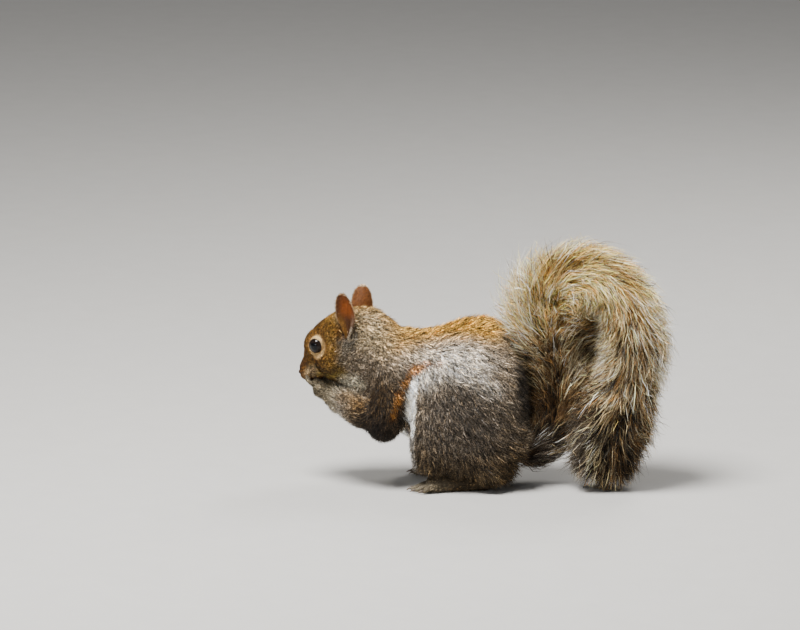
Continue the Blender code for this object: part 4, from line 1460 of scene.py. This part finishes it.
def unwrapped(piece):
    """The piece's own unwrap, one place for each corner of each face, then taken off it again."""
    bpy.context.view_layer.objects.active = piece
    piece.select_set(True)
    bpy.ops.object.mode_set(mode="EDIT")
    bpy.ops.mesh.select_all(action="SELECT")
    bpy.ops.uv.smart_project(angle_limit=math.radians(66), island_margin=0.002)
    bpy.ops.object.mode_set(mode="OBJECT")
    piece.select_set(False)
    layer = piece.data.uv_layers[0]
    places = np.empty(len(piece.data.loops) * 2, np.float32)
    layer.uv.foreach_get("vector", places)
    piece.data.uv_layers.remove(layer)
    return places.reshape(-1, 2)


skin_uv = unwrapped(skin)

# ---------------------------------------------------------------- the coat


def grained(colours, grain):
    """Colours with the strength of their fine speckle, weaker on white hair, as a fourth channel."""
    strength = grain * (1 - 0.6 * smoothstep(0.55, 0.85, colours.mean(-1, keepdims=True)))
    return np.concatenate((colours, strength), -1)


def outer_part(lines):
    """The place, in millimetres, of the part of each lock that shows."""
    return body_mm(lines[:, -2] * 0.35 + lines[:, -1] * 0.65)


def body_density(places):
    under_foot = 0.25 + 0.75 * smoothstep(1.0, 6.0, places[:, 2])
    off_head = np.maximum(1.02 - on_the_head(places), on_the_forearm(places))
    return off_head * under_foot * (1 - 0.9 * ear_hollow(places))


def body_hair(name, places, normal, corners):
    way, length = lie_of_coat(places)
    length = length * rng.uniform(0.6, 1.1, len(places))
    width = rng.uniform(0.34, 0.60, len(places)) * (0.46 + 0.052 * length)
    return way, length, width


def head_density(places):
    left = folded(head_mm(places), 2)
    behind, above, aside = left.T
    eye = np.linalg.norm((left - EYE_PLACE)[:, :2] * (1.0, 0.92), axis=1)
    eye = eye + 10.0 * smoothstep(9, 5, aside)
    front = 1.0 + 1.2 * (1 - smoothstep(14, 40, behind)) + 1.6 * (1 - smoothstep(6, 14, behind))
    off_nose = smoothstep(2.5, 3.4, np.linalg.norm((behind - 1.0, above + 0.8, aside * 0.8), axis=0))
    here = smoothstep(5.4, 5.9, eye) * off_nose * (1 - 0.85 * ear_hollow(places))
    return front * here * on_the_head(places, -4.0)


def head_hair(name, places, normal, corners):
    """Hair swept back from the nose, and round each eye away from the eye."""
    local = head_mm(places)
    way = unit((local - (-14.0, -2.0, 0.0)) * (1.0, 0.7, 0.7)) @ HEAD_AXES
    from_eye = from_nearer_eye(places)
    distance = np.linalg.norm(from_eye[:, :2], axis=1)
    near = (1 - smoothstep(6.5, 12.0, distance))[:, None] * (np.abs(local[:, 2:]) > 6)
    way = unit(way * (1 - near * 0.85) + unit(from_eye * (1, 1, 0)) @ HEAD_AXES * near)
    length = head_hair_length(places) * rng.uniform(0.75, 1.15, len(places))
    length = length * (1 - 0.45 * near[:, 0]) * (1 - 0.65 * ear_hollow(places))
    width = rng.uniform(0.28, 0.50, len(places)) * (0.7 + 0.06 * length)
    return way, length, width


def lid_hair(name, places, normal, corners):
    """Very short hair round the eye, pointing away from it."""
    middle, outward, _, _ = eye_axes(name[4:])
    way = places - middle
    way = unit(way - outward * (way @ outward)[:, None])
    return way, rng.uniform(1.0, 1.9, len(places)), rng.uniform(0.16, 0.28, len(places))


def lid_density(places):
    """Hair only outside the lids' dark rim."""
    distance = np.linalg.norm(from_nearer_eye(places)[:, :2], axis=1)
    return smoothstep(4.7, 5.1, distance) + 1e-4


def foot_hair(name, places, normal, corners):
    way = np.tile((0.0, -1.0, -0.05), (len(places), 1))
    on_toes = smoothstep(-40, -46, places[:, 1])
    length = rng.uniform(2.2, 3.6, len(places)) * (1 - 0.45 * on_toes)
    return way, length, rng.uniform(0.22, 0.38, len(places))


def arm_density(places):
    return 1.02 - smoothstep(-112, -104, places[:, 1]) + 1.6 * smoothstep(-122, -128, places[:, 1])


def arm_hair(name, places, normal, corners):
    count = len(places)
    up_arm = toward_elbow(places)
    way, _ = lie_of_coat(places)
    way = mixed(np.tile((0.0, -0.8, 0.4), (count, 1)), way, up_arm)
    on_fingers = smoothstep(-124, -131, places[:, 1])
    length = (3.4 + 2.0 * up_arm - 2.2 * on_fingers) * rng.uniform(0.7, 1.3, count)
    width = rng.uniform(0.24, 0.40, count) * (1 - 0.35 * on_fingers)
    return way, length, width


def ear_hair(name, places, normal, corners):
    """Short down that points up the ear, with a fluff of longer hair at the rear of its foot."""
    count = len(places)
    up, edge, _, rear = (values[corners[:, 0]] for values in ears[name])
    upward = unit(np.array(EAR_TIP[name[4:]]) - np.array(EAR_ROOT[name[4:]]))
    way = upward + np.cross(upward, normal) * (rng.normal(0, 0.35, count))[:, None]
    length = rng.uniform(1.0, 2.2, count) + 0.9 * smoothstep(0.85, 1.0, edge)
    length = length + 2.2 * smoothstep(0.30, 0.05, up) * smoothstep(0.2, 0.7, rear)
    return way, length, rng.uniform(0.16, 0.28, count)


def ear_base(name, corners):
    up, edge, inside, rear = (values[corners[:, 0]] for values in ears[name])
    fluff = inside * smoothstep(0.30, 0.05, up) * smoothstep(0.5, 0.8, rear)
    return mixed(ear_marking(up, edge, inside, rear), CREAM, fluff * 0.6)


# How the coat of each kind of surface is made. hair gives its way, length and width; lean is
# its lift, bend and sway; bands are the speckle's root, share of dark bands and contrast; unlike
# is how much its tufts differ in brightness; grain is the strength of its fine speckle.
Coat = collections.namedtuple(
    "Coat", "roots hair density marking tuft_size seed lean bands unlike grain"
)
COATS = {
    "body": Coat(
        roots=184000,
        hair=body_hair,
        density=body_density,
        marking=body_marking,
        tuft_size=2.0,
        seed=11,
        lean=(0.52, 0.40, 0.30),
        bands=(0.35, 0.38, 0.32),
        unlike=1.0,
        grain=1.0,
    ),
    "head": Coat(
        roots=70000,
        hair=head_hair,
        density=head_density,
        marking=head_marking,
        tuft_size=1.7,
        seed=12,
        lean=(0.50, 0.36, 0.22),
        bands=(0.5, 0.38, 0.30),
        unlike=0.6,
        grain=0.8,
    ),
    "arm": Coat(
        roots=11000,
        hair=arm_hair,
        density=arm_density,
        marking=arm_marking,
        tuft_size=1.8,
        seed=15,
        lean=(0.50, 0.30, 0.3),
        bands=(0.5, 0.40, 0.22),
        unlike=1.0,
        grain=0.6,
    ),
    "foot": Coat(
        roots=6000,
        hair=foot_hair,
        density=None,
        marking=body_marking,
        tuft_size=1.6,
        seed=13,
        lean=(0.45, 0.30, 0.2),
        bands=(0.5, 0.36, 0.35),
        unlike=1.0,
        grain=0.8,
    ),
    "ear": Coat(
        roots=7000,
        hair=ear_hair,
        density=None,
        marking=None,
        tuft_size=1.2,
        seed=14,
        lean=(0.40, 0.25, 0.3),
        bands=(0.7, 0.34, 0.4),
        unlike=0.6,
        grain=0.5,
    ),
    "lid": Coat(
        roots=2200,
        hair=lid_hair,
        density=lid_density,
        marking=head_marking,
        tuft_size=1.0,
        seed=16,
        lean=(0.4, 0.3, 0.25),
        bands=(0.75, 0.2, 0.6),
        unlike=0.5,
        grain=0.3,
    ),
}


def grow(name):
    """The locks that grow on a surface, as ribbons."""
    kind = COATS[name.split("_")[0]]
    points, quads = surfaces[name]
    normals = corner_normals(points, quads)
    count = int(kind.roots * quantity)
    place, normal, corners, loops, shares = scattered(points, quads, normals, count, kind.density)
    patch = (skin_uv[first_quad[name] * 4 + loops] * shares[..., None]).sum(1)
    places = body_mm(place)
    way, length, width = kind.hair(name, places, normal, corners)
    middle, lot = tufts(places, kind.tuft_size, kind.seed)
    lines, across, widths = hair_on(place, normal, way, length, width, *kind.lean, middle, lot)
    if name in ears:
        base = ear_base(name, corners)
    elif name.startswith("foot"):
        base = kind.marking(places)
    else:
        base = kind.marking(outer_part(lines))
    own = lot[:, 2] * kind.unlike + (1 - kind.unlike) / 2
    colours = speckle(base, *kind.bands, own)
    return ribbons(lines, across, widths, grained(colours, kind.grain), patch)


quantity = 1.0
furred = ["body", "head"]
furred += [f"{kind}_{side}" for side in SIDES for kind in ("arm", "foot", "ear", "lid")]
coat = [(HAIR_RINGS, *grow(name)) for name in furred]
core_uv = skin_uv.reshape(-1, 4, 2)[first_quad["tail"] :]
coat.append((TAIL_RINGS, *tail_locks(int(72000 * quantity), core_uv, core_runs, core_sides)))

COAT_PIECES = 8
owners = [rng.integers(0, COAT_PIECES, len(points)) for _, points, _, _ in coat]
for piece in range(COAT_PIECES):
    points, shades, spots, quads, tips, counted = [], [], [], [], [], 0
    for (rings, places, colours, patches), owner in zip(coat, owners):
        mine = owner == piece
        square, tip = ribbon_faces(int(mine.sum()), rings, counted)
        quads.append(square)
        tips.append(tip)
        points.append(places[mine].reshape(-1, 3))
        shades.append(colours[mine].reshape(-1, 4))
        spots.append(patches[mine].reshape(-1, 2))
        counted += len(points[-1])
    make_mesh(
        f"coat_{piece + 1}",
        np.concatenate(points),
        [np.concatenate(quads), np.concatenate(tips)],
        np.concatenate(shades),
        np.concatenate(spots),
        FUR,
    )

# ---------------------------------------------------------------- eyes, claws, whiskers

for side in SIDES:
    points, quads, colour = eyeball_surface(side)
    eyeball = make_mesh("eyeball_" + side, points, [quads], colour, material=EYE)
    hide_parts("eye_" + side)
    for limb, (points, quads) in (("hand", finger_claws(side)), ("foot", toe_claws(side))):
        claws = len(points) // (CLAW_RINGS * CLAW_SIDES)
        rise = np.tile(np.repeat(np.linspace(0, 1, CLAW_RINGS), CLAW_SIDES), claws)[:, None]
        colour = CLAW_ROOT * (1 - rise) + CLAW_TIP * rise
        make_mesh(f"claws_{limb}_{side}", points, [quads], colour, material=CLAW)

points, quads = whiskers()
colour = np.tile(WHISKER, (len(points), 1))
make_mesh("whiskers", points, [quads], colour, material=FUR)

# ---------------------------------------------------------------- floor, light and camera

bpy.ops.mesh.primitive_plane_add(size=40.0, location=(0.0, 0.0, 0.0))
ground = bpy.context.object
ground.name = "floor"
ground.data.materials.append(floor_material())


def soft_light(name, place, aim, size, power, colour):
    lamp = bpy.data.lights.new(name, "AREA")
    lamp.shape = "DISK"
    lamp.size = size
    lamp.energy = power
    lamp.color = colour
    made = bpy.data.objects.new(name, lamp)
    made.location = place
    made.rotation_euler = (Vector(aim) - Vector(place)).to_track_quat("-Z", "Y").to_euler()
    bpy.context.scene.collection.objects.link(made)


soft_light(
    "key",
    place=(0.45, -0.40, 1.5),
    aim=(0, 0, 0.08),
    size=0.7,
    power=70.0,
    colour=(1.0, 0.98, 0.94),
)
soft_light(
    "fill",
    place=(1.7, -0.9, 0.7),
    aim=(0, 0, 0.08),
    size=0.5,
    power=7.0,
    colour=(0.97, 0.98, 1.0),
)
soft_light(
    "rim",
    place=(-0.9, 0.6, 1.2),
    aim=(0, 0, 0.1),
    size=0.7,
    power=14.0,
    colour=(1.0, 0.97, 0.92),
)
sky = bpy.data.worlds.new("studio")
sky.use_nodes = True
sky.node_tree.nodes["Background"].inputs["Color"].default_value = (0.87, 0.86, 0.85, 1.0)
sky.node_tree.nodes["Background"].inputs["Strength"].default_value = 0.26
bpy.context.scene.world = sky

CAMERA_ELEVATION = math.radians(11.5)
CAMERA_DISTANCE = 5.0
FRAME_WIDTH = 0.600  # what the picture's width takes in at the animal
lens = bpy.data.cameras.new("camera")
lens.sensor_width = 36.0
lens.lens = 36.0 * CAMERA_DISTANCE / FRAME_WIDTH
camera = bpy.data.objects.new("camera", lens)
target = Vector((0.0, -0.0631, 0.1293))
away = Vector((math.cos(CAMERA_ELEVATION), 0.0, math.sin(CAMERA_ELEVATION)))
camera.location = target + away * CAMERA_DISTANCE
camera.rotation_euler = away.to_track_quat("Z", "Y").to_euler()
bpy.context.scene.collection.objects.link(camera)
bpy.context.scene.camera = camera
